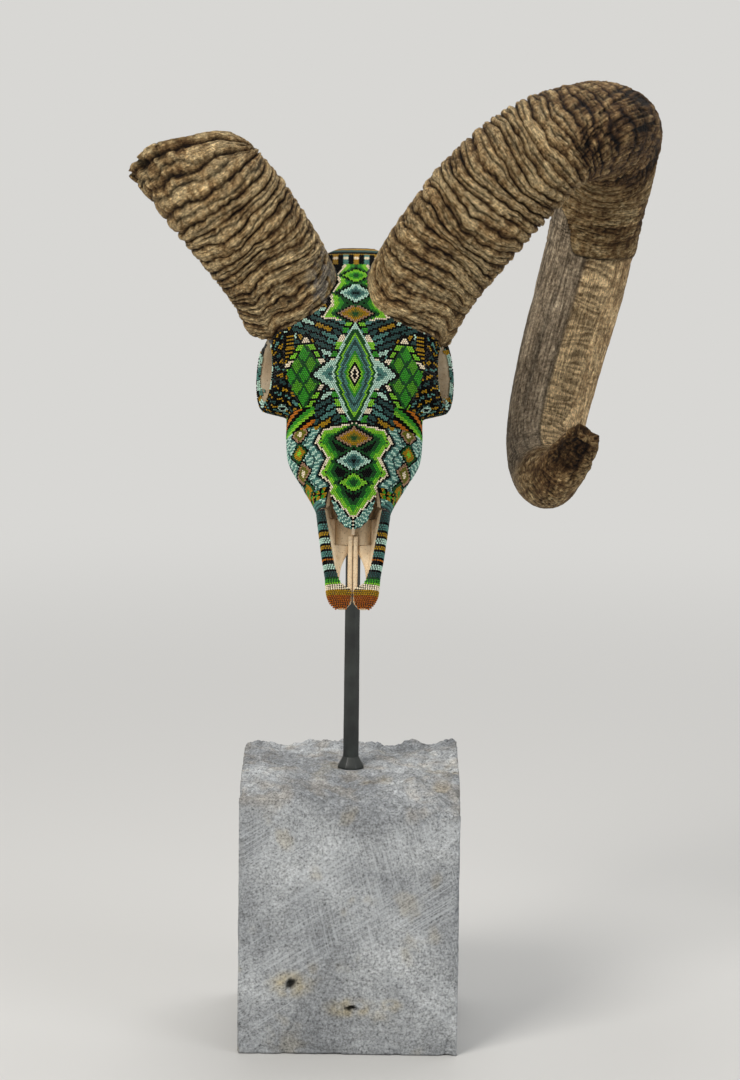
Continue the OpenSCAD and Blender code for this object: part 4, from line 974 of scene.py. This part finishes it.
def bones():
    for left in (True, False):
        side = side_of(left)
        for name, node_name, *shape, rough in (
                ("nasal_", "nasal_bone_", 0, NASAL_EDGE, 26, nasal_front, BROW, 60, 0.25),
                ("cheekbone_", "maxilla_", NASAL_EDGE, PALATE_EDGE, 110, cheek_front, BROW, 60, 0.25),
                ("temple_", "temporal_bone_", BROW_EDGE, BASE_EDGE, 80, SHELF, CREST, 36, 0.45),
                ("wing_", "pterygoid_", SOCKET_EDGE, BASE_EDGE, 24, BROW, SHELF, 50, 0.25)):
            bone_patch(name + side, node_name + side, *shape, left, rough)
        orbit_bone(left)
        muzzle_bone(left)
        teeth(left)
    bone_patch("forehead", "frontal_bone", -BROW_EDGE, BROW_EDGE, 90, BROW, CREST, 90)
    bone_patch("base_of_skull", "skull_base", BASE_EDGE, 360 - BASE_EDGE, 26, SHELF, CREST, 36)
    palate()
    back_of_skull()


def palate():
    w = np.concatenate([np.linspace(NASAL - 4, NOTCH - 0.3, 16), np.linspace(NOTCH, BROW - 0.15, 60)])
    edge = np.where(w < NOTCH, RIDGE_TURN, PALATE_EDGE + 0.4)[:, None]
    phi = edge + (360 - 2 * edge) * np.linspace(0, 1, 40)
    w = np.broadcast_to(w[:, None], phi.shape)
    lift = -0.1 + 0.25 * layered(skull(phi, w) / 8, 3, 3)
    v, q = plate(skull_off(phi, w, lift), skull_off(phi, w, 0 * phi - BONE))
    # Painted light: the palate's bone is lightened 1.22 times against the shade that falls on it
    bone("palate", v, q, "hard_palate", 1.22)


def back_of_skull():
    stations = np.linspace(CREST + 0.15, END, 34)
    rings = []
    for x in stations:
        w = np.full(STEPS, x)
        rings.append(skull_off(TURNS, w, -0.1 + 0.5 * layered(skull(TURNS, w) / 10, 4, 9)))
    rings += [skull_off(TURNS, np.full(STEPS, x), np.full(STEPS, -BONE)) for x in stations[::-6]]
    rings = np.array(rings + rings[:1])
    bone("back_of_skull", rings.reshape(-1, 3), grid(len(rings), STEPS, wrap=True), "occipital_bone")


PALATE_FRONT = NASAL - 4.3


def middle_bar():
    """A thin bar along the middle of the muzzle, that ends on the palate."""
    w = np.linspace(11, NASAL + 1.6, 60)[:, None]
    a = np.radians(np.arange(24) * 15.0)[None, :]
    sx, sy = (np.sign(c) * np.abs(c) ** 0.5 for c in (np.cos(a), np.sin(a)))
    low = np.where(w < PALATE_FRONT, 4.5, 1.5)
    bar = np.stack([1.9 + 1.65 * sx + 0 * w, (low - 0.5) / 2 + (low + 0.5) / 2 * sy, w + 0 * a], -1)
    return capped(bar + 0.1 * noise(bar / 5, 2)[..., None])


def muzzle_floor():
    """The floor from the slit to the arm."""
    w = np.linspace(22, NOTCH - 0.4, 60)[:, None]
    f = np.linspace(0, 1, 12)[None, :]
    inner = np.where(w < PALATE_FRONT, curve(SLIT, np.minimum(w, 47)), 13)
    x, w = np.broadcast_arrays(inner * (1 - f) + (curve(ARM_IN, w) + 3) * f, w)
    dents = 0.25 * noise(np.stack([x, w, 0 * x], -1) / 3, 8)
    y = 2.2 + 0.8 * np.exp(-(f / 0.12) ** 2) - 2.2 * f**2 - dents
    return plate(np.stack([x, y, w], -1), np.stack([x, 0 * x + 5.0, w], -1))


def muzzle_bone(left):
    side = side_of(left)
    w = np.concatenate([np.linspace(0, 16, 30), np.linspace(16.6, NOTCH - 0.3, 60)])
    p = arm(np.arange(72) * 5.0, w[:, None])
    p = p + 0.18 * layered(p / 6, 3, 29)[..., None] * unit(p - p.mean(1, keepdims=True))
    v, q = together([capped(p), middle_bar(), muzzle_floor()])
    # Painted light: the muzzle's bone is lightened 1.34 times against the shade that falls inside it
    bone("muzzle_" + side, mirrored(v, left), q, "premaxilla_" + side, 1.34, None)


def teeth(left):
    side = side_of(left)
    lengths = [13.5, 13, 10.5, 8, 7.5, 6.5]
    # Heights and shares of the width, up the sides and over the worn top
    levels = ((0.3, 0.94), (2, 1.0), (6, 1.02), (9.5, 1.0), (10.8, 0.96), (11.3, 0.84), (10.7, 0.66),
              (10.2, 0.5), (11.0, 0.34), (10.3, 0.16))
    a = np.radians(np.arange(56) * 360 / 56)
    lobes = (1 + 0.16 * np.cos(2 * a) ** 2 * np.sign(np.abs(np.sin(a)) - 0.2)
             - 0.10 * np.exp(-(np.sin(a) / 0.25) ** 2))
    crowns = []
    for k, long in enumerate(lengths):
        w0 = BROW - 5 - sum(lengths[:k]) - long / 2
        x0, wide = skull(RIDGE_TURN, w0)[0], min(9.5, long)
        rings = []
        for h, grow in levels:
            x = x0 + wide / 2 * 0.95 * grow * lobes * np.cos(a)
            y = 9 + h + 0.35 * np.sin(3 * a + k) * (h > 10)
            w = w0 + long / 2 * 0.97 * grow * np.sin(a) * (0.9 + 0.1 * lobes)
            rings.append(np.stack([x, y, w], -1))
        crowns.append(capped(np.array(rings)))
    v, q = together(crowns)
    make("teeth_" + side, world(mirrored(v, left)), q, [enamel_m], "cheek_teeth_" + side)


# Beads: how much they lean, how their sizes and heights vary, and how many have each shade
BEAD_LEAN, BEAD_SIZES, BEAD_HEIGHTS, SHADE_SHARES = 0.09, (0.93, 1.05), (-0.06, 0.06), (0.22, 0.56, 0.22)


def bead_mesh(name, points, normals, colours, left, zone):
    """One small ring for each bead, a little uneven in lean, size, height and shade."""
    n = len(points)
    local = np.random.default_rng(len(name) * 7 + n)
    nrm = unit(normals + BEAD_LEAN * local.normal(size=(n, 3)))
    t = unit(np.cross(nrm, np.array([0.31, 0.87, 0.12]) + 0 * nrm))
    b = np.cross(nrm, t)
    size = local.uniform(*BEAD_SIZES, n)
    spin = local.uniform(0, 0.8, n)
    a = np.radians(np.arange(8) * 45.0) + spin[:, None]
    lift = local.uniform(*BEAD_HEIGHTS, n)
    flat = t[:, None, :] * np.cos(a)[..., None] + b[:, None, :] * np.sin(a)[..., None]
    wide = RING[:, 0] * size[:, None]
    high = RING[:, 1] + lift[:, None]
    v = (points[:, None, None, :] + flat[:, None] * wide[..., None, None]
         + nrm[:, None, None, :] * high[..., None, None])
    one = grid(len(RING), 8, wrap=True)
    quads = (one[None] + (np.arange(n) * len(RING) * 8)[:, None, None]).reshape(-1, 4)
    key = np.asarray(colours) * len(SHADES) + local.choice(len(SHADES), n, p=SHADE_SHARES)
    used = np.unique(key)
    index = np.repeat(np.searchsorted(used, key), len(one))
    v = world(mirrored(v.reshape(-1, 3), left))
    ob = make(name, v, quads, [bead_m[k] for k in used], zone, index=index, turn=False)
    if left:
        ob.data.flip_normals()


# The forehead motif's middle, a distance outside every motif, and the motifs' bands from the middle out
BROW_MID, FAR = 150, 9
MIDDLE_BANDS = [(0.09, BLACK), (0.19, CREAM), (0.27, BLACK), (0.38, BRIGHT), (0.46, GREEN), (0.57, TEAL),
                (0.66, DEEP), (0.75, TEAL), (0.84, BRIGHT), (0.94, DARK), (1.06, MINT)]
CROWN_COLUMN = ((192, 12.6, 7.0, [(0.22, DARK), (0.45, OLIVE), (0.78, OCHRE), (1.0, TAN)]),
                (207.5, 11.5, 7.4, [(0.16, BLACK), (0.4, DEEP), (0.66, TEAL), (1.0, MINT)]),
                (221.5, 9.5, 5.8, [(0.3, DARK), (0.6, GREEN), (1.0, BRIGHT)]))
NOSE_COLUMN = ((109, 12.6, 7.0, [(0.2, DARK), (0.42, OLIVE), (0.78, OCHRE), (1.0, TAN)]),
               (94.6, 11.6, 7.0, [(0.18, BLACK), (0.45, DEEP), (0.7, TEAL), (1.0, MINT)]),
               (81, 9.6, 6.0, [(0.35, DARK), (0.65, GREEN), (1.0, BRIGHT)]))


def lozenge(s, w, cs, cw, hs, hw):
    """Distance from a lozenge's middle: 1 at its edge."""
    return np.abs(s - cs) / hs + np.abs(w - cw) / hw


def nested(colour, d, bands):
    """Paints bands of a nested motif: (outer limit, colour) from the middle out."""
    low = -1.0
    for limit, c in bands:
        colour = np.where((d >= low) & (d < limit), c, colour)
        low = limit
    return colour


def column(colour, e, w, where, motifs):
    """Nested lozenges in a row along the middle of the face, each in a dark rim."""
    for place, half_s, half_w, bands in motifs:
        d = np.where(where, lozenge(e, w, 0, place, half_s, half_w), FAR)
        colour = nested(colour, d, bands + [(1.18, BLACK), (1.42, DARK)])
    return colour


def banded(value, step, colours):
    """One of the colours in turn for each step of a value."""
    return np.choose(np.floor(value / step).astype(int) % len(colours), colours)


def zigzag(colour, inset, where):
    """A graded border, from its outer line inwards."""
    for low, c in ((-1.3, BLACK), (0, CREAM), (1.4, BRIGHT), (4.0, GREEN), (6.4, DARK), (8.6, BLACK)):
        colour = np.where(where & (inset >= low), c, colour)
    return colour


def forehead_pattern(e, w):
    """Colours by distance from the middle of the face and place along it."""
    a, h = np.abs(e), np.abs(w - BROW_MID)
    # Slanting bars above and below the middle motif
    q = h - 0.42 * a
    k = np.floor(q / 4.3).astype(int)
    along = a - 7 - (k % 3) * 4
    seg = np.floor(along / 12).astype(int)
    bars = np.choose((k * 3 + seg * 2) % 7, [DEEP, OCHRE, TEAL, MINT, DEEP, TEAL, DEEP])
    gap = ((q / 4.3) % 1 > 0.66) | (along % 12 < 1.4)
    colour = np.where((a > 4) & (q > 0) & (q < 40) & ~gap, bars, BLACK)
    # Rows of dashes towards the eyes
    dash = (w % 2.9 < 1.45) & ((a - 42) % 8.4 < 5.8)
    colour = np.where((a > 42) & (h < 30), np.where(dash, np.where(a < 50, OCHRE, DEEP), BLACK), colour)
    # Checked green lozenges with a border of blocks
    d = lozenge(a, w, 34, BROW_MID, 17, 24)
    lean = 0.7 * (w - BROW_MID)
    up, down = (a - 34 + lean) / 9.5 + 0.5, (a - 34 - lean) / 9.5 + 0.5
    check = (np.floor(up) + np.floor(down)).astype(int) % 2
    line = (up % 1 < 0.2) | (down % 1 < 0.2)
    colour = np.where(d < 1.2, BLACK, colour)
    colour = np.where(d < 0.86, np.where(line, DARK, np.where(check == 0, GREEN, LEAF)), colour)
    rim = (d >= 0.91) & (d < 1.12) & (h % 5.0 > 1.5)
    colour = np.where(rim, banded(h, 5.0, [BRIGHT, CREAM, BRIGHT]), colour)
    # Pale darts beside the middle motif
    d = np.where(a > 9, (a - 9) / 20 + h / 14.5, FAR)
    colour = nested(colour, d, [(0.26, BLACK), (0.45, DEEP), (0.7, TEAL), (1.0, MINT), (1.14, BLACK)])
    # Middle motif: nested lozenges with blocks set along its edge
    d = ((a / 15) ** 1.22 + (h / 33.5) ** 1.22) ** 0.82
    beside = (d > 1.08) & (d < 1.3) & (a > 2.5) & (h > 9)
    blocks = np.where(h % 5.2 < 1.2, BLACK, banded(h, 5.2, [BRIGHT, CREAM, GREEN]))
    colour = nested(np.where(beside, blocks, colour), d, MIDDLE_BANDS)
    # Column of lozenges up to the crown in a graded zigzag
    foot = w - 185 - 0.16 * a
    crown = foot > 0
    half = np.interp(w, [184, 189, 199, 207, 215, 222, 230], [19, 24, 16.5, 18, 12, 13.5, 9])
    inset = np.minimum((half - a) * 0.8, foot)
    colour = np.where(crown & (a < half + 1.3), zigzag(colour, inset, crown), colour)
    colour = column(colour, e, w, crown, CROWN_COLUMN)
    # Blocks and bands over the crown
    colour = np.where(w > 231, banded(a + 1.8, 3.6, [OCHRE, BLACK, TEAL, BLACK]), colour)
    colour = np.where((w > 236.5) & (w < 239), banded(a + 1.8, 3.6, [CREAM, BLACK]), colour)
    return np.where(w > 241, banded(w, 2.6, [BLACK, DEEP, OCHRE]), colour)


def nose_pattern(e, w):
    """Nose and cheeks: a graded zigzag round a column of lozenges, with pale rungs outside it."""
    a = np.abs(e)
    half = np.interp(w, [57, 75, 80, 87.5, 97, 107, 117, 130], [0, 17, 15.5, 24, 18, 26.5, 20.5, 20.5])
    g = a - half - 1.3
    col = np.floor(g / 6.4).astype(int)
    rung = (w + 0.35 * g + (col % 2) * 1.5) % 3.0 < 1.5
    colour = np.where(g % 6.4 < 1.2, DEEP, np.where(rung, MINT, TEAL))
    # Lozenges down the cheeks
    for k, (place, off, inner) in enumerate(((115, 37.5, CREAM), (103, 38, BRIGHT), (91, 35.5, CREAM),
                                             (80, 33, GREEN))):
        bands = [(0.3, inner), (0.68, (OLIVE, OCHRE)[k % 2]), (0.92, (TAN, DARK)[k % 2]), (1.1, BLACK)]
        colour = nested(colour, lozenge(a, w, off, place, 6.8, 7.0), bands)
    # Checks and stripes at their lower end, slanting bands under the eyes
    check = (np.floor((a + w) / 3.0) + np.floor((a - w) / 3.0)).astype(int) % 3
    colour = np.where((w + 0.2 * a < 83) & (g > 0), np.choose(check, [OCHRE, GREEN, BLACK]), colour)
    colour = np.where((w < 72) & (g > 3), np.where((w - 60) % 3.0 < 1.5, DEEP, TEAL), colour)
    bands = banded(w + 0.45 * a, 2.7, [BLACK, BRIGHT, GREEN, BLACK, ORANGE])
    colour = np.where((w > 118) & (a > 27), bands, colour)
    # Pale tongue at the nose's end, then the zigzag and its lozenges
    tongue = (w < 72) & (g <= 8) & (a < 24) & (g > -1.3)
    colour = np.where(tongue, np.where((w + 0.55 * a) % 3.1 < 1.5, MINT, TEAL), colour)
    head = 118.5 - 0.16 * a - w
    colour = zigzag(colour, np.minimum((half - a) * 0.8, head), (head > -1.3) & (a < half + 1.3))
    colour = column(colour, e, w, True, NOSE_COLUMN)
    return np.where((head <= -1.3) & (a <= 27), forehead_pattern(e, w), colour)


STRIPES = [(9.5, TIP_C), (13.5, OCHRE), (16.5, CREAM), (18.5, BRIGHT), (20.3, GREEN), (21.8, DARK),
           (26.2, DEEP), (27.5, BLACK), (31.3, MINT), (32.7, BLACK), (35.0, ORANGE), (36.4, BLACK),
           (40.0, TEAL), (41.3, BLACK), (43.8, OCHRE), (45.2, BLACK), (48.8, MINT), (50.2, BLACK),
           (52.6, OCHRE), (54.0, BLACK), (57.8, TEAL), (59.0, BLACK), (70.0, DEEP)]


def stripes(w):
    limits = np.array([x for x, _ in STRIPES])
    return np.array([c for _, c in STRIPES])[np.minimum(np.searchsorted(limits, w), len(STRIPES) - 1)]


def horn_room(run, p):
    """Distance from a horn's course as a share of its section there: over 1 outside it."""
    us = np.arange(0, 2.4, 0.05)
    gap = np.linalg.norm(p[..., None, :] - course_at(run, us), axis=-1)
    u = us[np.argmin(gap, axis=-1)]
    _, b, n = course_frame(run, u)
    q = p - course_at(run, u)
    tuck = 0.5
    return np.hypot((q * b).sum(-1) / (curve(HORN_ACROSS, u) - tuck),
                    (q * n).sum(-1) / (curve(HORN_DEEP, u) - tuck))


def rows_along(w0, w1):
    """Stations one bead row apart along the middle of the face."""
    fine = np.linspace(w0, w1, 800)
    length = run_length(skull(np.zeros(800), fine))
    n = round(length[-1] / ROW)
    return np.interp((np.arange(n) + 0.5) * length[-1] / n, length, fine)


def row_points(w, low, high, odd):
    """Angles at the bead pitch along a row, and their distances from the middle of the face."""
    fine = np.linspace(min(low, 0.0), max(high, 0.0), 500)
    p = skull(fine, np.full(500, w))
    length, across = run_length(p), run_length(p[:, :2] * np.array([1, 0.3]))
    zero, half = np.interp(0, fine, length), 0.5 if odd else 0.0
    k = np.arange(math.ceil(-zero / PITCH - half), math.floor((length[-1] - zero) / PITCH - half) + 1)
    phi = np.interp((k + half) * PITCH + zero, length, fine)
    phi = phi[(phi > low + 0.3) & (phi < high - 0.3)]
    return phi, np.interp(phi, fine, across) - np.interp(0, fine, across)


def face_rows(w0, w1, limits, pattern):
    """Beads in rows across the face: places on the bone, normals, colours, and the rows' limits."""
    pts, nrm, col, edges = [], [], [], []
    for i, w in enumerate(rows_along(w0, w1)):
        reach = limits(w)
        if reach is None:
            continue
        phi, e = row_points(w, *reach, i % 2)
        ww = np.full(len(phi), w)
        pts.append(skull(phi, ww))
        nrm.append(skull_normal(phi, ww))
        col.append(pattern(e, ww))
        edges.append((w, *reach))
    return np.concatenate(pts), np.concatenate(nrm), np.concatenate(col), np.array(edges)


def wax(name, outer, inner, left, zone):
    """Wax between the bone and the beads."""
    v, q = plate(mirrored(outer, left), mirrored(inner, left))
    make(name, world(v), q, [wax_m], zone, sharp=50)


def face_wax(name, phi, w, left, zone):
    top, foot = (skull_off(phi, w, 0 * phi + lift) for lift in (WAX_TOP, WAX_FOOT))
    wax(name, top, foot, left, zone)


def bed(name, angles, start, left, zone):
    w = start + (BROW - start) * np.linspace(0, 1, 60)[:, None]
    face_wax(name, np.broadcast_to(angles, w.shape), w, left, zone)


def forehead_limits(w):
    """Angles at which a row of beads meets the horns or the back of the crown."""
    fine = np.linspace(0, BROW_EDGE, 200)
    p = skull(fine, np.full(200, w))
    reach = np.interp(w, [CREST - 20, CREST, CREST + 14], [BROW_EDGE, 34, 26])
    limits = []
    for run in (LEFT, RIGHT):
        under = horn_room(run, p) <= 1
        limits.append(min(reach, fine[np.argmax(under)] if under.any() else BROW_EDGE))
    return -limits[0], limits[1]


def nose_limits(w):
    a = np.linspace(0, NASAL_EDGE, 400)
    ok = nasal_front(a) < w - 0.3
    limit = a[ok].max() if ok.any() else 0.5
    return -limit, limit


def cheek_limits(w):
    a = np.linspace(NASAL_EDGE + 0.5, BEAD_EDGE - 2, 400)
    a = a[cheek_front(a) < w - 0.3]
    return (a.min(), a.max()) if len(a) else None


def forehead_beads():
    p, n, c, edges = face_rows(BROW, CREST + 15, forehead_limits, forehead_pattern)
    p = p + n * BEAD_LIFT
    for half, keep in (("a", p[:, 0] < 0), ("b", p[:, 0] >= 0)):
        bead_mesh("beads_forehead_" + half, p[keep], n[keep], c[keep], False, "beadwork_forehead")
    first, last = edges[:, 1:2] - 1, edges[:, 2:] + 1
    phi = first + (last - first) * np.linspace(0, 1, 80)
    face_wax("wax_forehead", phi, np.broadcast_to(edges[:, :1], phi.shape), False, "beadwork_forehead")


def nose_beads():
    p, n, c, _ = face_rows(NASAL, BROW, nose_limits, nose_pattern)
    bead_mesh("beads_nose", p + n * BEAD_LIFT, n, c, False, "beadwork_nose")
    a = np.linspace(-NASAL_EDGE + 0.3, NASAL_EDGE - 0.3, 60)
    bed("wax_nose", a, nasal_front(np.abs(a)), False, "beadwork_nose")


def cheek_beads(left):
    side = side_of(left)
    p, n, c, _ = face_rows(NASAL, BROW, cheek_limits, nose_pattern)
    bead_mesh("beads_cheek_" + side, p + n * BEAD_LIFT, n, c, left, "beadwork_cheek_" + side)
    a = np.linspace(NASAL_EDGE + 0.3, BEAD_EDGE - 1, 80)
    bed("wax_cheek_" + side, a, cheek_front(a), left, "beadwork_cheek_" + side)


def scattered(points, gap):
    """Which points to keep, taken in order, so that no two are nearer than the gap."""
    cells, kept = {}, []
    around = list(np.ndindex(3, 3, 3))
    for i, (x, y, z) in enumerate(np.floor(points / gap).astype(int)):
        near = [j for a, b, c in around for j in cells.get((x + a - 1, y + b - 1, z + c - 1), ())]
        if all(((points[i] - points[j]) ** 2).sum() > gap * gap for j in near):
            cells.setdefault((x, y, z), []).append(i)
            kept.append(i)
    return kept


# Place of the tear hole across and along, and a count of rows that fills every socket
TEAR_X, TEAR_W, MOST_ROWS = 50, 134, 64


def orbit_beads(left):
    side, run = side_of(left), LEFT if left else RIGHT
    turn = np.arange(720) * 0.5
    flat, steps = 0 * turn, np.linspace(0, 1, 60)
    inner = ray_find(turn, ORB_R - 6.0)
    sheet = np.array([orbit_point(turn, inner + (1 - inner) * k, flat) for k in steps])
    length = np.transpose([run_length(line) for line in np.swapaxes(sheet, 0, 1)])
    # The beads start unevenly at the rim
    rim = (ray_find(turn, ORB_R - 2.4) - inner) / (1 - inner)
    start = np.array([np.interp(rim[i], steps, length[:, i]) for i in range(len(turn))])
    uneven = np.stack([np.cos(np.radians(turn)), np.sin(np.radians(turn)), flat], -1)
    start = start - 2.0 * smooth(noise(uneven * 2.1, 15 + left) * 1.4) - 0.6 * noise(uneven * 9, 16)
    points = sheet.reshape(-1, 3)
    tear = points[np.argmin(np.hypot(points[:, 0] - TEAR_X, points[:, 2] - TEAR_W))]
    patch = banded(turn, 20, [MINT, TEAL, OCHRE, MINT])
    wedge = np.floor(turn / 7.5).astype(int)
    pts, nrm, col = [], [], []
    for j in range(MOST_ROWS):
        at = ROW * (j + 0.4)
        room = length[-1] > at + 0.5
        if not room.any():
            break
        f = inner + (1 - inner) * np.array([np.interp(at, length[:, i], steps) for i in range(len(turn))])
        p = orbit_point(turn, f, flat)
        dt = orbit_point(turn + 0.3, f, flat) - orbit_point(turn - 0.3, f, flat)
        df = orbit_point(turn, np.minimum(f + 0.01, 1.0), flat) - orbit_point(turn, f - 0.01, flat)
        n = unit(np.cross(dt, df))
        n = n * np.sign((n @ AXIS).mean())
        # Dashes, a dark line, blocks at the rim, and a ring of pale beads round the tear hole
        dash = (turn % 7.5 < 3.8) & ((j + 2 * (wedge % 3)) % 6 < 4)
        c = np.where(dash, np.choose(wedge % 4, [OCHRE, DEEP, OCHRE, TEAL]), BLACK)
        c = np.where(at - start < 4.0, BLACK, c)
        c = np.where(at - start < 2.7, patch, c)
        d = np.linalg.norm(p - tear, axis=-1)
        c = np.where(d < 3.6, np.where(d > 1.9, MINT, BLACK), c)
        ok = room & (at > start) & (horn_room(run, p) > 1)
        pts.append(p[ok])
        nrm.append(n[ok])
        col.append(c[ok])
    p, n, c = np.concatenate(pts), np.concatenate(nrm), np.concatenate(col)
    kept = scattered(p, PITCH * 0.93)
    p, n, c = p[kept], n[kept], c[kept]
    bead_mesh("beads_orbit_" + side, p + n * BEAD_LIFT, n, c, left, "beadwork_orbit_" + side)


def orbit_wax(left):
    """Wax under a socket's beads, that dips where the horn covers it."""
    side, run = side_of(left), LEFT if left else RIGHT
    f0 = ray_find(TURNS, ORB_R - 2)
    upper, under = [], []
    for k in np.linspace(0, 1, 26):
        f = f0 + (1 - f0) * k
        out = smooth((horn_room(run, orbit_point(TURNS, f, 0 * TURNS)) - 0.9) / 0.05)
        upper.append(orbit_point(TURNS, f, WAX_TOP * out + 0.05))
        under.append(orbit_point(TURNS, f, 0 * TURNS + 0.02))
    both = np.array(upper + under[::-1] + upper[:1])
    make("wax_orbit_" + side, world(mirrored(both.reshape(-1, 3), left)), grid(len(both), STEPS, wrap=True),
         [wax_m], "beadwork_orbit_" + side, sharp=50)


# Where the muzzle's beads and wax end on the outer side of the arm, and their heights over it
BEADS_END, ARM_WAX_END, ARM_LIFT, ARM_WAX = 106, 104, 1.25, 0.9


def first_turn(w):
    """Where the muzzle's beads start on the inner side of the arm."""
    return np.interp(w, [0, 15, 21, 30, 66], [-52, -52, -38, -18, -8])


def muzzle_beads(left):
    side = side_of(left)
    pts, nrm = [], []
    for i, w in enumerate(np.arange(0.9, NOTCH - 1.0, ROW)):
        fine = np.linspace(first_turn(w), BEADS_END, 200)
        length = run_length(arm(fine, np.full(200, w)))
        s = np.arange(0.4 + (PITCH / 2 if i % 2 else 0), length[-1] - 0.3, PITCH)
        t = np.interp(s, length, fine)
        ww = np.full(len(t), w)
        pts.append(arm(t, ww))
        nrm.append(arm_normal(t, ww))
    p, n = np.concatenate(pts), np.concatenate(nrm)
    core = p * np.array([0, 0, 1]) + np.array([10, 0, 0])
    n = n * np.sign((n * (p - core)).sum(-1, keepdims=True))
    zone = "beadwork_muzzle_" + side
    bead_mesh("beads_muzzle_" + side, p + n * ARM_LIFT, n, stripes(p[:, 2]), left, zone)
    w = np.linspace(0.6, NOTCH - 0.4, 70)[:, None]
    turn = first_turn(w) + (ARM_WAX_END - first_turn(w)) * np.linspace(0, 1, 40)
    w = np.broadcast_to(w, turn.shape)
    p, n = arm(turn, w), arm_normal(turn, w)
    wax("wax_muzzle_" + side, p + ARM_WAX * n, p + WAX_FOOT * n, left, zone)


def beads():
    forehead_beads()
    nose_beads()
    for left in (True, False):
        cheek_beads(left)
        orbit_beads(left)
        orbit_wax(left)
        muzzle_beads(left)


# Floor, light and camera
def seen_ray(tree):
    """One for rays from the camera and rays mirrored or let through on their way to it."""
    path = node(tree, "ShaderNodeLightPath")
    out = path.outputs["Is Camera Ray"]
    for name in ("Is Glossy Ray", "Is Transmission Ray"):
        m = node(tree, "ShaderNodeMath", operation="MAXIMUM")
        join(tree, (out, m.inputs[0]), (path.outputs[name], m.inputs[1]))
        out = m.outputs[0]
    return out


def blended(tree, fac, a, b, end):
    """Joins two shaders, mixed by a factor, to the tree's output."""
    mix = node(tree, "ShaderNodeMixShader")
    join(tree, (fac, mix.inputs[0]), (a.outputs[0], mix.inputs[1]), (b.outputs[0], mix.inputs[2]),
         (mix.outputs[0], tree.nodes[end].inputs["Surface"]))


BACKDROP = srgb(216, 215, 212)
LAMPS = (("key", (-1.5, -2.0, 2.3), 1.3, 62, (1, 0.97, 0.93)),
         ("fill", (2.1, -1.8, 1.2), 1.6, 20, (0.95, 0.97, 1)),
         ("top", (0.3, 0.7, 2.6), 1.4, 26, (1, 1, 1)))
# The camera's place in metres, its pitch and roll, focal length and picture in pixels, sensor height
CAMERA_AT, CAMERA_PITCH, CAMERA_ROLL = (0.012, -2.809, 0.842), math.radians(9.75), math.radians(0.7)
FOCAL_PX, PICTURE_H, SENSOR_H = 3965.0, 1080.0, 36.0


def lay_floor():
    """A pale floor that turns into the backdrop's colour far from the object."""
    m, t, b = material("floor", 0.8, BACKDROP, 0.2)
    far = node(t, "ShaderNodeMapRange", interpolation_type="SMOOTHSTEP")
    far.inputs["From Min"].default_value, far.inputs["From Max"].default_value = 0.5, 2.2
    length = node(t, "ShaderNodeVectorMath", operation="LENGTH")
    both = node(t, "ShaderNodeMath", operation="MULTIPLY")
    join(t, (node(t, "ShaderNodeNewGeometry").outputs["Position"], length.inputs[0]),
         (length.outputs["Value"], far.inputs["Value"]), (far.outputs["Result"], both.inputs[0]),
         (seen_ray(t), both.inputs[1]))
    pale = node(t, "ShaderNodeEmission", Color=(*BACKDROP, 1), Strength=1.0)
    blended(t, both.outputs[0], b, pale, "Material Output")
    bpy.ops.mesh.primitive_plane_add(size=60, location=(0, 8, -0.0005))
    floor = bpy.context.object
    floor.name = "floor"
    floor.data.materials.append(m)


def studio():
    scene = bpy.context.scene
    scene.world = bpy.data.worlds.new("studio")
    scene.world.use_nodes = True
    t = scene.world.node_tree
    sky = t.nodes["Background"]
    sky.inputs["Color"].default_value = (0.9, 0.9, 0.9, 1)
    sky.inputs["Strength"].default_value = 0.34
    back = node(t, "ShaderNodeBackground", Color=(*BACKDROP, 1), Strength=1.0)
    blended(t, seen_ray(t), sky, back, "World Output")
    for name, at, size, power, colour in LAMPS:
        light = bpy.data.lights.new(name, "AREA")
        light.size, light.energy, light.color = size, power, colour
        ob = bpy.data.objects.new(name, light)
        ob.location = at
        ob.rotation_euler = (Vector((0.02, 0, 0.4)) - Vector(at)).to_track_quat("-Z", "Y").to_euler()
        bpy.context.collection.objects.link(ob)
    bpy.context.scene.view_settings.view_transform = "Standard"


def set_camera():
    cam = bpy.data.cameras.new("camera")
    cam.sensor_fit, cam.sensor_height = "VERTICAL", SENSOR_H
    cam.lens = SENSOR_H * FOCAL_PX / PICTURE_H
    cam.clip_end = 60
    ob = bpy.data.objects.new("camera", cam)
    lean = Matrix.Rotation(math.pi / 2 - CAMERA_PITCH, 4, "X")
    ob.matrix_world = Matrix.Translation(CAMERA_AT) @ lean @ Matrix.Rotation(CAMERA_ROLL, 4, "Z")
    bpy.context.collection.objects.link(ob)
    bpy.context.scene.camera = ob


def inner_pieces():
    for name, m in (("anchor_resin", resin_m), ("braincase_fill", resin_m), ("vomer", inner_m),
                    ("horn_core_left", inner_m), ("horn_core_right", inner_m)):
        mesh = frame["nodes"][name].data
        mesh.materials.clear()
        mesh.materials.append(m)


lay_floor()
studio()
set_camera()
stone()
rod()
horns()
bones()
beads()
inner_pieces()
